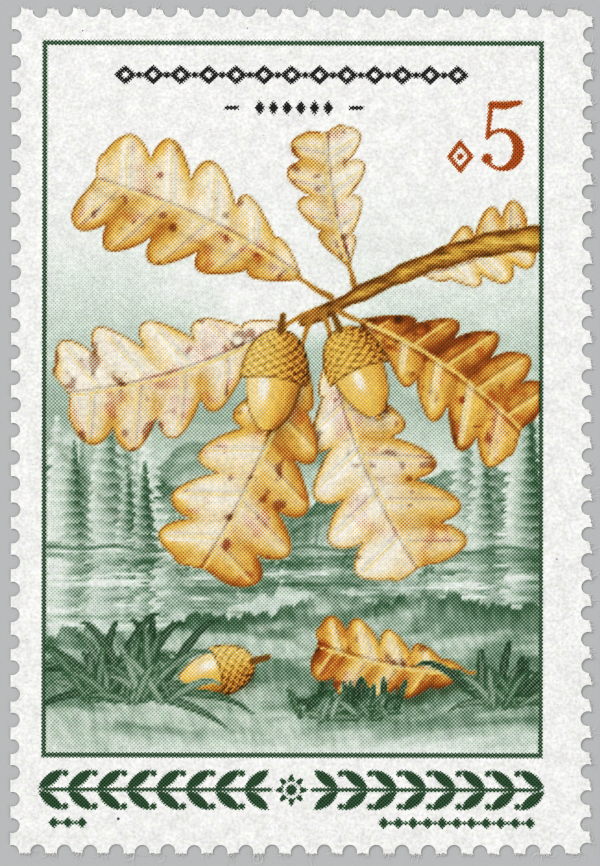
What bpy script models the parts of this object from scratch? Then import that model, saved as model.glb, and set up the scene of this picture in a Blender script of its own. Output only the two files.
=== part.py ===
"""A postage stamp lying face up: a sheet of coated paper, torn from its pane along crossing rows
of punched holes, with the dry gum film that sticks it down on its back.

Metres, +Z up and +Y towards the top of the printed face. The origin is on the underside, at the
middle of the stamp's length and width over the tips of its teeth.
"""

import math

import bpy
import numpy as np

# Perforation: round holes one pitch apart, with a hole at each corner of the stamp.
PITCH_ACROSS = 0.001492
PITCH_UP = 0.0015
HOLES_ACROSS = 22
HOLES_UP = 32
HOLE_RADIUS = 0.00042

# Layers, from the surface that the stamp lies on upwards.
GUM_THICKNESS = 0.000012
LAYER_GAP = 0.000002
PAPER_THICKNESS = 0.0001
GUM_SET_BACK = 0.00002

# How far the teeth reach past the line of hole centres, going round anticlockwise: at the end of
# a tooth that comes first, at its other end, and how much the tear wanders on the way.
BOTTOM_TEAR = (0.00012, 0.00014, 0.00004)
RIGHT_TEAR = (0.0002, 0.00004, 0.00003)
TOP_TEAR = (-0.00002, 0.0001, 0.00003)
LEFT_TEAR = (0.00014, 0.00014, 0.000005)
TEAR_SEED = 27

# Where along a pitch the tear has its points between two holes, for each layer.
PAPER_TEAR_SHARES = (0.38, 0.62)
GUM_TEAR_SHARES = (0.5,)
PAPER_ARC_STEPS = 7
GUM_ARC_STEPS = 6

PAPER_COLOUR = (0.86, 0.86, 0.85, 1.0)
PAPER_ROUGHNESS = 0.6
GUM_COLOUR = (0.80, 0.78, 0.70, 1.0)
GUM_ROUGHNESS = 0.3


def torn_reaches(tear, teeth, draws):
    """How far each tooth of a side reaches: at its first end, its middle and its second end."""
    first_end, second_end, wander = tear
    even = np.linspace(first_end, second_end, 3)
    return even + wander * draws.uniform(-1.0, 1.0, (teeth, 3))


def stamp_sides():
    """The four sides anticlockwise from the bottom: the first hole's centre, the heading as an
    angle, the pitch, and how far each tooth reaches."""
    draws = np.random.default_rng(TEAR_SEED)
    half_wide = HOLES_ACROSS * PITCH_ACROSS / 2
    half_high = HOLES_UP * PITCH_UP / 2
    bottom = torn_reaches(BOTTOM_TEAR, HOLES_ACROSS, draws)
    right = torn_reaches(RIGHT_TEAR, HOLES_UP, draws)
    top = torn_reaches(TOP_TEAR, HOLES_ACROSS, draws)
    left = torn_reaches(LEFT_TEAR, HOLES_UP, draws)
    return [
        (np.array([-half_wide, -half_high]), 0.0, PITCH_ACROSS, bottom),
        (np.array([half_wide, -half_high]), math.pi / 2, PITCH_UP, right),
        (np.array([half_wide, half_high]), math.pi, PITCH_ACROSS, top),
        (np.array([-half_wide, half_high]), math.pi * 3 / 2, PITCH_UP, left),
    ]


def unit(angle):
    """The unit vector that points along an angle."""
    return np.array([math.cos(angle), math.sin(angle)])


def perforated_outline(arc_steps, tear_shares, set_back):
    """The stamp's edge anticlockwise: for each hole the arc that bites into the sheet, and then
    the torn end of the tooth after it. A set back widens the holes and shortens the teeth."""
    radius = HOLE_RADIUS + set_back
    sides = stamp_sides()
    outline = []
    for side, (corner, heading, pitch, tears) in enumerate(sides):
        reaches = tears - set_back
        outward = heading - math.pi / 2
        reach_before = sides[side - 1][-1][-1][-1] - set_back
        # The arc of a corner hole starts on the side before, a quarter turn sooner.
        arc_start = heading + math.pi / 2 + math.asin(reach_before / radius)
        for tooth, reach in enumerate(reaches):
            hole = corner + unit(heading) * pitch * tooth
            arc_end = heading - math.asin(reach[0] / radius)
            for angle in np.linspace(arc_start, arc_end, arc_steps + 1):
                outline.append(hole + unit(angle) * radius)
            for share in tear_shares:
                torn_to = np.interp(share, (0.0, 0.5, 1.0), reach)
                outline.append(hole + unit(heading) * pitch * share + unit(outward) * torn_to)
            arc_start = heading + math.pi + math.asin(reach[-1] / radius)
    return np.array(outline)


def flat_layer(name, outline, underside, thickness, finish, collection):
    """One layer of the stamp: a closed flat outline given its thickness above its underside."""
    curve = bpy.data.curves.new(name, "CURVE")
    curve.dimensions = "2D"
    curve.fill_mode = "BOTH"
    curve.extrude = thickness / 2
    spline = curve.splines.new("POLY")
    spline.points.add(len(outline) - 1)
    for point, (x, y) in zip(spline.points, outline):
        point.co = (x, y, 0.0, 1.0)
    spline.use_cyclic_u = True
    curve.materials.append(finish)
    layer = bpy.data.objects.new(name, curve)
    layer.location.z = underside + thickness / 2
    collection.objects.link(layer)


def plain_finish(name, colour, roughness):
    """A finish with one colour and one roughness."""
    finish = bpy.data.materials.new(name)
    finish.use_nodes = True
    shader = finish.node_tree.nodes["Principled BSDF"]
    shader.inputs["Base Color"].default_value = colour
    shader.inputs["Roughness"].default_value = roughness
    return finish


def main():
    for old in list(bpy.data.objects):
        bpy.data.objects.remove(old)
    stamp = bpy.data.collections.new("postage_stamp")
    bpy.context.scene.collection.children.link(stamp)

    paper_edge = perforated_outline(PAPER_ARC_STEPS, PAPER_TEAR_SHARES, 0.0)
    gum_edge = perforated_outline(GUM_ARC_STEPS, GUM_TEAR_SHARES, GUM_SET_BACK)
    middle = (paper_edge.min(axis=0) + paper_edge.max(axis=0)) / 2

    gum_finish = plain_finish("dry_gum", GUM_COLOUR, GUM_ROUGHNESS)
    paper_finish = plain_finish("coated_paper", PAPER_COLOUR, PAPER_ROUGHNESS)
    paper_underside = GUM_THICKNESS + LAYER_GAP
    flat_layer("gum", gum_edge - middle, 0.0, GUM_THICKNESS, gum_finish, stamp)
    flat_layer("paper", paper_edge - middle, paper_underside, PAPER_THICKNESS, paper_finish, stamp)


main()
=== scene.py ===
"""The looks of a postage stamp: paper with a printed face, torn fibres at its teeth, dry gum.

The print is worked out in millimetres on a fine grid over the sheet, from the middle of the
rectangle that the lines of hole centres make. Each ink's tone goes to the sheet's vertices, and
the paper's material screens it into rows of dots, as an offset press does.
"""

import logging
import math
from dataclasses import dataclass, field, replace
from enum import IntEnum

import bpy
import numpy as np
from mathutils.geometry import delaunay_2d_cdt
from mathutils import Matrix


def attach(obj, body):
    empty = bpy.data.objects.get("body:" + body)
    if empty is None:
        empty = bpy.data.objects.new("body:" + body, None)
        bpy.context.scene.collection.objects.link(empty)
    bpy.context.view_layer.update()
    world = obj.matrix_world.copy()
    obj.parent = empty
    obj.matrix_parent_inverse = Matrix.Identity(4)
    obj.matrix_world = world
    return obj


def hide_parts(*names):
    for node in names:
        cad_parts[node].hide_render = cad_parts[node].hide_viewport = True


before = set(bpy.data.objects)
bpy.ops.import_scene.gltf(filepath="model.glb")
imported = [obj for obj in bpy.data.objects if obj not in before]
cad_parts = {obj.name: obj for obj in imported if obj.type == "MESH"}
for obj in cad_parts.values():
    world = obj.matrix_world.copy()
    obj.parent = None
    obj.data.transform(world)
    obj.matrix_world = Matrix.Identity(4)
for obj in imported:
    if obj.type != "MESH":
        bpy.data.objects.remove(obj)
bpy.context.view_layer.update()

# A millimetre in metres, and how many numbers a layer stores with each point.
MM = 0.001
CHANNELS = 4
log = logging.getLogger("postage_stamp")


class Ink(IntEnum):
    """The four printing inks, in the order of their channels."""

    YELLOW = 0
    RED = 1
    GREEN = 2
    BLACK = 3


class LineArt(IntEnum):
    """The kinds of solid line work and the torn edge, in the order of their channels. The frame
    line isn't stored: the material works it out from the place on the sheet."""

    GREEN = 0
    BLACK = 1
    VALUE = 2
    TORN = 3
    FRAME = 4


class Seed(IntEnum):
    """The seeds of the random draws and of the cloudy noise, one for each use."""

    HOLES = 5
    CLOUDS = 11
    SHEET_EDGE = 17
    FIBRE_PATHS = 23
    FIBRE_RADII = 24
    TEETH = 27
    SPRUCES = 41
    NEEDLES = 43
    RIPPLES = 51
    STREAKS = 52
    BANK_EDGE = 61
    GRASS = 62
    SWATHES = 63
    TUFTS = 71
    BARK = 81


@dataclass(frozen=True)
class Perforation:
    """The stamp's edge, in millimetres, as the part has it: punched holes with torn teeth
    between them. The four sides go anticlockwise from the bottom one."""

    pitch_across: float = 1.492
    pitch_up: float = 1.5
    holes_across: int = 22
    holes_up: int = 32
    hole_radius: float = 0.42
    tears: tuple[tuple[float, float, float], ...] = (
        (0.12, 0.14, 0.04),
        (0.20, 0.04, 0.03),
        (-0.02, 0.10, 0.03),
        (0.14, 0.14, 0.005),
    )
    part_tear_share: float = 0.38
    raggedness: tuple[float, ...] = (0.045, 0.040, 0.040, 0.006)
    hole_stray: float = 0.016
    early_strike: tuple[tuple[float, float, float], ...] = (
        (-0.106, -0.00495, 0.00075),
        (-0.018, 0.0012, 0.0006),
    )
    late_strike: tuple[tuple[float, float, float], ...] = (
        (0.009, 0.0, 0.00165),
        (0.142, 0.0, 0.0013),
    )
    corner_share: float = 0.5
    corner_reach: float = 0.17

    def half_size(self) -> np.ndarray:
        """Half the size of the rectangle of hole centres."""
        return np.array([self.holes_across * self.pitch_across, self.holes_up * self.pitch_up]) / 2

    def side_counts(self) -> np.ndarray:
        """How many teeth each side has."""
        return np.array([self.holes_across, self.holes_up] * 2)

    def reaches(self) -> np.ndarray:
        """How far each tooth reaches past the line of hole centres, at its ends and its middle:
        an even run plus seeded wander, drawn in the part's order.

        Returns:
            The reaches, tooth by place.
        """
        draws = np.random.default_rng(Seed.TEETH)
        runs = [
            np.linspace(first, second, 3) + wander * draws.uniform(-1.0, 1.0, (count, 3))
            for (first, second, wander), count in zip(self.tears, self.side_counts())
        ]
        return np.concatenate(runs)

    def middle(self) -> np.ndarray:
        """The part's origin, the middle of its outline, from the middle of the hole centres: half
        the difference between the furthest teeth of opposite sides. Besides its ends, a tooth of
        the part has two points, part way from each end to its middle.

        Returns:
            The place.
        """
        end = 1.0 - 2.0 * self.part_tear_share
        points = np.array([[1, 0, 0], [end, 1 - end, 0], [0, 1 - end, end], [0, 0, 1]])
        furthest = (self.reaches() @ points.T).max(axis=1)
        starts = np.cumsum(self.side_counts()) - self.side_counts()
        bottom, right, top, left = np.maximum.reduceat(furthest, starts)
        return np.array([right - left, top - bottom]) / 2

    def comb_errors(self, holes: np.ndarray, is_late: np.ndarray) -> np.ndarray:
        """How far the perforating comb's strikes miss the even lattice. The right-hand column was
        struck after the other three sides, so it is out of step with them. A strike's error is a
        constant plus a share of the place across and of the place up.

        Args:
            holes: The lattice's holes, a row each.
            is_late: Which of them belong to the later strike.

        Returns:
            The errors across and up, in millimetres.
        """
        terms = np.column_stack([np.ones(len(holes)), holes])
        early, late = [terms @ np.array(strike).T for strike in (self.early_strike, self.late_strike)]
        return np.where(is_late[:, None], late, early)

    def edge(self, arc_steps: int, tear_steps: int, set_back: float = 0.0) -> tuple[np.ndarray, np.ndarray]:
        """The outline anticlockwise: for each hole the arc that bites into the sheet, and then
        the torn end of the tooth after it. An arc runs between the angles where the circle meets
        the teeth on either side. A tear is the straight line between two arcs, plus a tent for
        the tooth's middle and seeded rags.

        Args:
            arc_steps: The steps along an arc.
            tear_steps: The points along a tear, between its ends.
            set_back: How much wider the holes and shorter the teeth are.

        Returns:
            The points in millimetres from the middle of the hole centres, and for each how
            torn it is, 0 on the arcs and up to 1 on the roughest teeth.
        """
        counts = self.side_counts()
        side = np.repeat(np.arange(4), counts)
        number = np.concatenate([np.arange(count) for count in counts])
        heading = side * math.pi / 2
        along = np.stack([np.cos(heading), np.sin(heading)], axis=-1)
        outward = np.stack([np.sin(heading), -np.cos(heading)], axis=-1)
        pitch = np.array([self.pitch_across, self.pitch_up] * 2)[side]
        corner = (self.half_size() * np.array([[-1, -1], [1, -1], [1, 1], [-1, 1]]))[side]
        draws = np.random.default_rng(Seed.HOLES)
        lattice = corner + along * (pitch * number)[:, None]
        is_late = (side == 1) | ((side == 2) & (number == 0))
        stray = draws.normal(0.0, self.hole_stray, corner.shape) + self.comb_errors(lattice, is_late)
        # The top right corner's hole is the least out of step, and the tooth below it is long.
        top_right = counts[:2].sum()
        stray[top_right] *= self.corner_share
        holes = lattice + stray

        # A corner hole's arc starts on the side before, a quarter turn sooner.
        is_corner = (number == 0)[:, None]
        outward_before = np.where(is_corner, -along, outward)
        heading_before = heading - np.where(number == 0, math.pi / 2, 0.0)
        radius = self.hole_radius + set_back
        reach = self.reaches() - set_back
        reach[top_right - 1, 2] = self.corner_reach - set_back
        reach_before = np.roll(reach[:, 2], 1)
        start_sine = (reach_before - (stray * outward_before).sum(axis=1)) / radius
        end_sine = (reach[:, 0] - (stray * outward).sum(axis=1)) / radius
        start = heading_before + math.pi + np.arcsin(start_sine)
        end = heading - np.arcsin(end_sine)
        angle = start[:, None] + (end - start)[:, None] * np.linspace(0.0, 1.0, arc_steps + 1)
        circle = np.stack([np.cos(angle), np.sin(angle)], axis=-1)
        arcs = holes[:, None] + radius * circle

        share = np.linspace(0.0, 1.0, tear_steps + 2)[1:-1, None]
        first, last = arcs[:, None, -1], np.roll(arcs[:, :1], -1, axis=0)
        tent = 1.0 - np.abs(2.0 * share[:, 0] - 1.0)
        raised = (reach[:, 1] - (reach[:, 0] + reach[:, 2]) / 2)[:, None] * tent
        rags = draws.uniform(-1.0, 1.0, raised.shape) * np.array(self.raggedness)[side][:, None]
        tears = first + (last - first) * share + outward[:, None] * (raised + rags)[..., None]

        points = np.concatenate([arcs, tears], axis=1)
        torn = np.zeros(points.shape[:2])
        torn[:, arc_steps + 1:] = (np.array(self.raggedness) / max(self.raggedness))[side][:, None]
        return points.reshape(-1, 2), torn.reshape(-1)


# How wide the soft edge of a painted thing is, in millimetres.
EDGE = 0.12

# Cloudy noise: the size of its lattice, each layer's shift from the last, and its strength's share.
LATTICE = 64
LAYER_SHIFT = (17.3, 9.1)
LAYER_SHARE = 0.55


def ramp(low: float, high: float, value: np.ndarray) -> np.ndarray:
    """A smooth step, 3t^2 - 2t^3, from 0 at low to 1 at high. It falls where low is above high."""
    t = np.clip((value - low) / (high - low), 0.0, 1.0)
    return t * t * (3.0 - 2.0 * t)


def covered(inside: np.ndarray, soft: float = EDGE) -> np.ndarray:
    """How much of each place a thing covers, from 0 to 1: a straight ramp over its soft edge."""
    return np.clip(0.5 + inside / soft, 0.0, 1.0)


def mix_in(tones: np.ndarray, amount: np.ndarray, inks: np.ndarray) -> None:
    """Moves tones, in place, towards other ones by an amount from 0 to 1 at each place."""
    tones += amount[..., None] * (inks - tones)


def landscape(green: np.ndarray, yellow: np.ndarray | float, black: np.ndarray) -> np.ndarray:
    """The four inks' tones of a thing in the landscape, where no red is printed."""
    return np.stack(np.broadcast_arrays(yellow, 0.0, np.clip(green, 0.0, 1.0), black), axis=-1)


def cloudy(x: np.ndarray, y: np.ndarray, size: float, seed: int, layers: int = 4) -> np.ndarray:
    """Cloudy noise: random heights on a square lattice, joined by smooth steps, plus finer layers
    of half the size and a little over half the strength each.

    Args:
        x: Positions across, in millimetres.
        y: Positions up, in millimetres.
        size: The lattice spacing of the coarsest layer, in millimetres.
        seed: The seed of the random heights.
        layers: How many layers are summed.

    Returns:
        The noise, about 0 to 1 and 0.5 on average.
    """
    heights = np.random.default_rng(seed).random((LATTICE, LATTICE))
    total = np.zeros(np.broadcast(x, y).shape)
    strength, weight = 1.0, 0.0
    for layer in range(layers):
        u = x / size * 2**layer + LAYER_SHIFT[0] * layer
        v = y / size * 2**layer + LAYER_SHIFT[1] * layer
        i, j = np.floor(u).astype(int), np.floor(v).astype(int)
        s, t = ramp(0.0, 1.0, u - i), ramp(0.0, 1.0, v - j)
        left, right, foot, head = i % LATTICE, (i + 1) % LATTICE, j % LATTICE, (j + 1) % LATTICE
        low = heights[foot, left] * (1 - s) + heights[foot, right] * s
        high = heights[head, left] * (1 - s) + heights[head, right] * s
        total += strength * (low * (1 - t) + high * t)
        weight += strength
        strength *= LAYER_SHARE
    return total / weight


def stroke(x: np.ndarray, y: np.ndarray, points: np.ndarray, half_widths: np.ndarray) -> np.ndarray:
    """How far inside a brush stroke each position is: for the nearest stretch of the stroke's
    path, the half width there less the distance to it.

    Args:
        x: Positions across.
        y: Positions up.
        points: The path, a row for each point.
        half_widths: Half the stroke's width at each point of the path.

    Returns:
        The depth inside the stroke, negative outside it.
    """
    inside = np.full(np.broadcast(x, y).shape, -1e3)
    for a, b, wa, wb in zip(points[:-1], points[1:], half_widths[:-1], half_widths[1:]):
        along = b - a
        t = np.clip(((x - a[0]) * along[0] + (y - a[1]) * along[1]) / (along @ along), 0.0, 1.0)
        away = np.hypot(x - a[0] - along[0] * t, y - a[1] - along[1] * t)
        inside = np.maximum(inside, wa + (wb - wa) * t - away)
    return inside


def curve(controls: tuple[tuple[float, float], ...], count: int) -> np.ndarray:
    """Points of a Bezier curve: at each parameter the control points' mean, weighted by the
    Bernstein polynomials.

    Args:
        controls: The control points.
        count: How many points are wanted.

    Returns:
        The points, a row each.
    """
    t = np.linspace(0.0, 1.0, count)[:, None]
    n = len(controls) - 1
    weights = [math.comb(n, k) * t**k * (1 - t) ** (n - k) for k in range(n + 1)]
    return sum(w * np.array(c, float) for w, c in zip(weights, controls))


def around(
    x: np.ndarray, y: np.ndarray, middle: tuple[float, float], half: tuple[float, float]
) -> tuple[slice, slice]:
    """The part of the grid within a rectangle, so that a small thing is worked out only there.

    Args:
        x: The grid's positions across.
        y: Its positions up.
        middle: The rectangle's middle.
        half: Half its width and height.

    Returns:
        The slices of the grid's rows and columns.
    """
    rows = np.flatnonzero(np.abs(y[:, 0] - middle[1]) < half[1])
    columns = np.flatnonzero(np.abs(x[0] - middle[0]) < half[0])
    return slice(rows[0], rows[-1] + 1), slice(columns[0], columns[-1] + 1)


@dataclass
class Plates:
    """The tones of the printing plates at every position of the sheet's grid."""

    x: np.ndarray
    y: np.ndarray
    tones: np.ndarray = field(init=False)
    body: np.ndarray = field(init=False)

    def __post_init__(self) -> None:
        """Starts with blank plates."""
        self.tones = np.zeros(self.x.shape + (len(Ink),))
        self.body = np.zeros(self.x.shape)

    def lay(self, mask: np.ndarray, tones: np.ndarray) -> None:
        """Paints tones over what is there, as far as a mask from 0 to 1 covers it."""
        mix_in(self.tones, mask, np.clip(tones, 0.0, 1.0))

    def lay_body(self, mask: np.ndarray, tones: np.ndarray) -> None:
        """Paints a thing of the foreground, which can be shaded by what lies over it."""
        self.lay(mask, tones)
        self.body = np.maximum(self.body, mask)

    def shade(self, amount: np.ndarray) -> None:
        """Darkens the foreground by a shadow.

        Args:
            amount: How strong the shadow is, from 0 to 1.
        """
        shadow = amount * self.body
        green, red, black = SHADOW_SHARES
        self.tones[..., Ink.GREEN] += green * shadow * (1 - self.tones[..., Ink.GREEN])
        self.tones[..., Ink.RED] += red * shadow * (1 - self.tones[..., Ink.RED])
        self.tones[..., Ink.BLACK] += black * shadow

    def headed(self, foot: tuple[float, float], heading: float) -> tuple[np.ndarray, np.ndarray]:
        """How far places are along and across a heading in degrees, from its foot."""
        dx, dy, angle = self.x - foot[0], self.y - foot[1], math.radians(heading)
        return dx * math.cos(angle) + dy * math.sin(angle), dy * math.cos(angle) - dx * math.sin(angle)

    def depth(self, inside: np.ndarray) -> np.ndarray:
        """About how far, in millimetres, a measure is from 0: its value over its slope."""
        down, across = np.gradient(inside, self.y[:, 0], self.x[0])
        return inside / np.maximum(np.hypot(down, across), 1e-6)


# How much of what is left of the green and of the red a full shadow adds, and how much black.
SHADOW_SHARES = (0.34, 0.30, 0.06)

# What a leaf's four inks are as it turns, from cream over pale ochre, ochre and orange to brown.
TURNING = (0.0, 0.3, 0.55, 0.8, 1.0)
TURNING_INKS = (
    (0.24, 0.50, 0.84, 1.0, 1.0),
    (0.04, 0.11, 0.24, 0.45, 0.72),
    (0.00, 0.01, 0.03, 0.09, 0.36),
    (0.00, 0.00, 0.00, 0.01, 0.10),
)

# The inks that details of leaves and acorns are printed in, or that light and shade add or take.
VEIN_INKS = np.array([0.62, 0.10, 0.05, 0.0])
LEAF_RIM_INKS = np.array([0.97, 0.80, 0.46, 0.12])
LEAF_SHADE = np.array([0.0, 0.80, 0.45, 0.0])
LEAF_LIGHT = np.array([0.50, 0.65, 0.70, 0.0])
SPOT_INKS = np.array([0.0, 0.35, 0.26, 0.0])
BLUSH_INKS = np.array([0.0, 0.20, 0.0, 0.0])
LEE_INKS = np.array([0.0, 0.30, 0.26, 0.0])
STALK_INKS = np.array([0.90, 0.55, 0.28, 0.05])
NUT_SHADE = np.array([0.0, 0.30, 0.50, 0.12])
NUT_SHINE_INKS = np.array([0.15, 0.02, 0.0, 0.0])
NUT_RIM_INKS = np.array([0.90, 0.85, 0.70, 0.25])
CUP_SHADE = np.array([0.0, 0.30, 0.60, 0.16])
CUP_RIM_INKS = np.array([0.90, 0.85, 0.75, 0.30])
CUP_STALK_INKS = np.array([0.90, 0.65, 0.50, 0.15])

# How far a leaf's shadow falls across and up, in millimetres, and where the light comes from.
SHADOW_SHIFT = (0.32, -0.42)
LIGHT_HEADING = 130.0


def turned(stage: np.ndarray) -> np.ndarray:
    """The four inks' tones of leaf tissue that has turned so far, from 0, cream, to 1, brown."""
    return np.stack([np.interp(stage, TURNING, inks) for inks in TURNING_INKS], axis=-1)


@dataclass(frozen=True)
class OakLeaf:
    """An autumn oak leaf. Its sizes are in millimetres and its heading in degrees."""

    base: tuple[float, float]
    heading: float
    length: float
    width: float
    stage: float
    seed: int
    bend: float = 0.0
    lobes: int = 5
    stalk: float = 0.07
    vein_slant: float = 0.42
    stagger: float = 0.22

    def local(self, plates: Plates) -> tuple[np.ndarray, np.ndarray]:
        """Places along the midrib, a parabola, from its foot, and across it, in leaf lengths."""
        u, v = [measure / self.length for measure in plates.headed(self.base, self.heading)]
        return u, v - self.bend * 4.0 * u * (1.0 - u)

    def origin(self, u: np.ndarray, v: np.ndarray) -> np.ndarray:
        """Where the vein through a place leaves the midrib, from 0 at the blade's foot to 1."""
        return (u - self.stalk - self.vein_slant * np.abs(v)) / (1.0 - self.stalk)

    def lobe(self, origin: np.ndarray, v: np.ndarray) -> np.ndarray:
        """How many lobes up its side a vein that leaves the midrib at this place is."""
        return origin * self.lobes + np.where(v > 0, 0.0, self.stagger)

    def margin(self, u: np.ndarray, v: np.ndarray) -> np.ndarray:
        """How far inside the lobed margin a place is, in lengths: the half width less the
        distance to the midrib. The half width is t^0.8 (1 - t)^0.42 of the place that a vein
        through here leaves the midrib, times a lobe wave that is deepest in the middle.

        Args:
            u: Places along the midrib.
            v: Places across it.

        Returns:
            The depths.
        """
        wander = 0.030 * (cloudy(u * 6, v * 6, 1.0, self.seed, 2) - 0.5)
        t = np.clip(self.origin(u, v) + wander, 0.0, 1.0)
        hull = 1.86 * t**0.8 * (1.0 - t) ** 0.42 * self.width / 2 / self.length
        wave = np.abs(np.sin(math.pi * self.lobe(t, v))) ** 0.62
        depth = 0.50 * np.sin(math.pi * np.clip(t, 0, 1)) ** 0.5
        return hull * (1.0 - depth * (1.0 - wave)) - np.abs(v)

    def blade(self, plates: Plates, u: np.ndarray, v: np.ndarray, inside: np.ndarray) -> np.ndarray:
        """Works out the blade's tones: blotched tissue that has turned unevenly, lit from one
        side, with swellings between the veins, spots, a blush and a curled rim.

        Args:
            plates: The plates.
            u: Places along the midrib.
            v: Places across it.
            inside: How far inside the margin each place is, in millimetres.

        Returns:
            The tones.
        """
        side = np.tanh(v / 0.02)
        # A vein runs forward at a slant, so what it meets is told by where it leaves the midrib.
        turn = self.lobe(self.origin(u, v), v)
        between = (turn % 1.0) - 0.5
        away = np.abs(between) / self.lobes * self.length * 0.80
        reach = ramp(0.10, 0.55, inside)
        vein = ramp(0.11, 0.04, away) * reach
        fine = np.sin(turn * math.pi * 8 + 1.5 * np.sin(np.abs(v) * 70)) * 0.5 + 0.5
        rib = ramp(0.16, 0.06, np.abs(v) * self.length / (1.15 - 0.7 * np.clip(u, 0, 1)))

        blotch = cloudy(plates.x, plates.y, 2.4, self.seed + 5, 5)
        grain = cloudy(plates.x, plates.y, 0.35, self.seed + 9, 3)
        edge = ramp(1.1, 0.0, inside)
        pillow = np.cos(2 * math.pi * between)
        stage = self.stage + 0.75 * (blotch - 0.5) + 0.30 * edge**2 - 0.10 * ramp(0.5, 0.0, away)
        stage += 0.10 * side - 0.07 * pillow * reach + 0.12 * (grain - 0.5)
        tones = turned(np.clip(stage, 0.0, 1.0))
        # The half turned from the light, the dips along the veins and the curled rim are darker.
        dark = 0.10 * (side + 1) / 2 + 0.10 * ramp(-0.2, -1.0, pillow) * reach
        dark += 0.14 * ramp(0.35, 0.0, inside) + 0.05 * fine * reach
        tones += dark[..., None] * LEAF_SHADE
        # Light catches each swelling on the lit half, where little red and green is printed.
        light = ramp(0.55, 1.0, pillow) * reach * ramp(0.2, -0.8, side) * ramp(0.35, 0.6, blotch)
        tones *= 1 - light[..., None] * LEAF_LIGHT
        spots = ramp(0.70, 0.82, cloudy(plates.x, plates.y, 0.75, self.seed + 21, 2))
        blush = ramp(0.58, 0.74, cloudy(plates.x, plates.y, 0.95, self.seed + 23, 2)) * reach
        tones += spots[..., None] * SPOT_INKS + blush[..., None] * BLUSH_INKS
        pale = np.maximum(vein * 0.8, rib)
        mix_in(tones, pale, VEIN_INKS)
        # A dark line along one side of each vein makes it stand up.
        lee = ramp(0.17, 0.0, np.abs(between * self.length / self.lobes * 0.8 + 0.20)) * reach
        lee = np.maximum(0.6 * lee, ramp(0.16, 0.0, np.abs(v * self.length + 0.22)) * ramp(0, 0.2, inside))
        tones += lee[..., None] * LEE_INKS
        mix_in(tones, 0.75 * ramp(0.17, 0.02, inside), LEAF_RIM_INKS)
        return tones

    def paint(self, plates: Plates) -> None:
        """Paints the leaf's shadow, then its blade and its stalk.

        Args:
            plates: The plates.
        """
        shadow = replace(self, base=(self.base[0] + SHADOW_SHIFT[0], self.base[1] + SHADOW_SHIFT[1]))
        plates.shade(ramp(-0.30, 0.30, plates.depth(shadow.margin(*shadow.local(plates)))))
        u, v = self.local(plates)
        inside = plates.depth(self.margin(u, v))
        plates.lay_body(covered(inside) * (u > self.stalk - 0.02), self.blade(plates, u, v, inside))
        self.paint_stalk(plates)

    def paint_stalk(self, plates: Plates) -> None:
        """Paints the stalk, a tapering stroke from the twig to the foot of the blade.

        Args:
            plates: The plates.
        """
        angle = math.radians(self.heading)
        ends = np.array([[-0.06, 0.0], [0.0, 0.0], [self.stalk + 0.03, self.bend * 0.3]])
        turn = np.array([[math.cos(angle), math.sin(angle)], [-math.sin(angle), math.cos(angle)]])
        path = np.array(self.base) + ends @ turn * self.length
        inside = stroke(plates.x, plates.y, path, np.array([0.20, 0.15, 0.10]))
        plates.lay_body(covered(inside), STALK_INKS)


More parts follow.
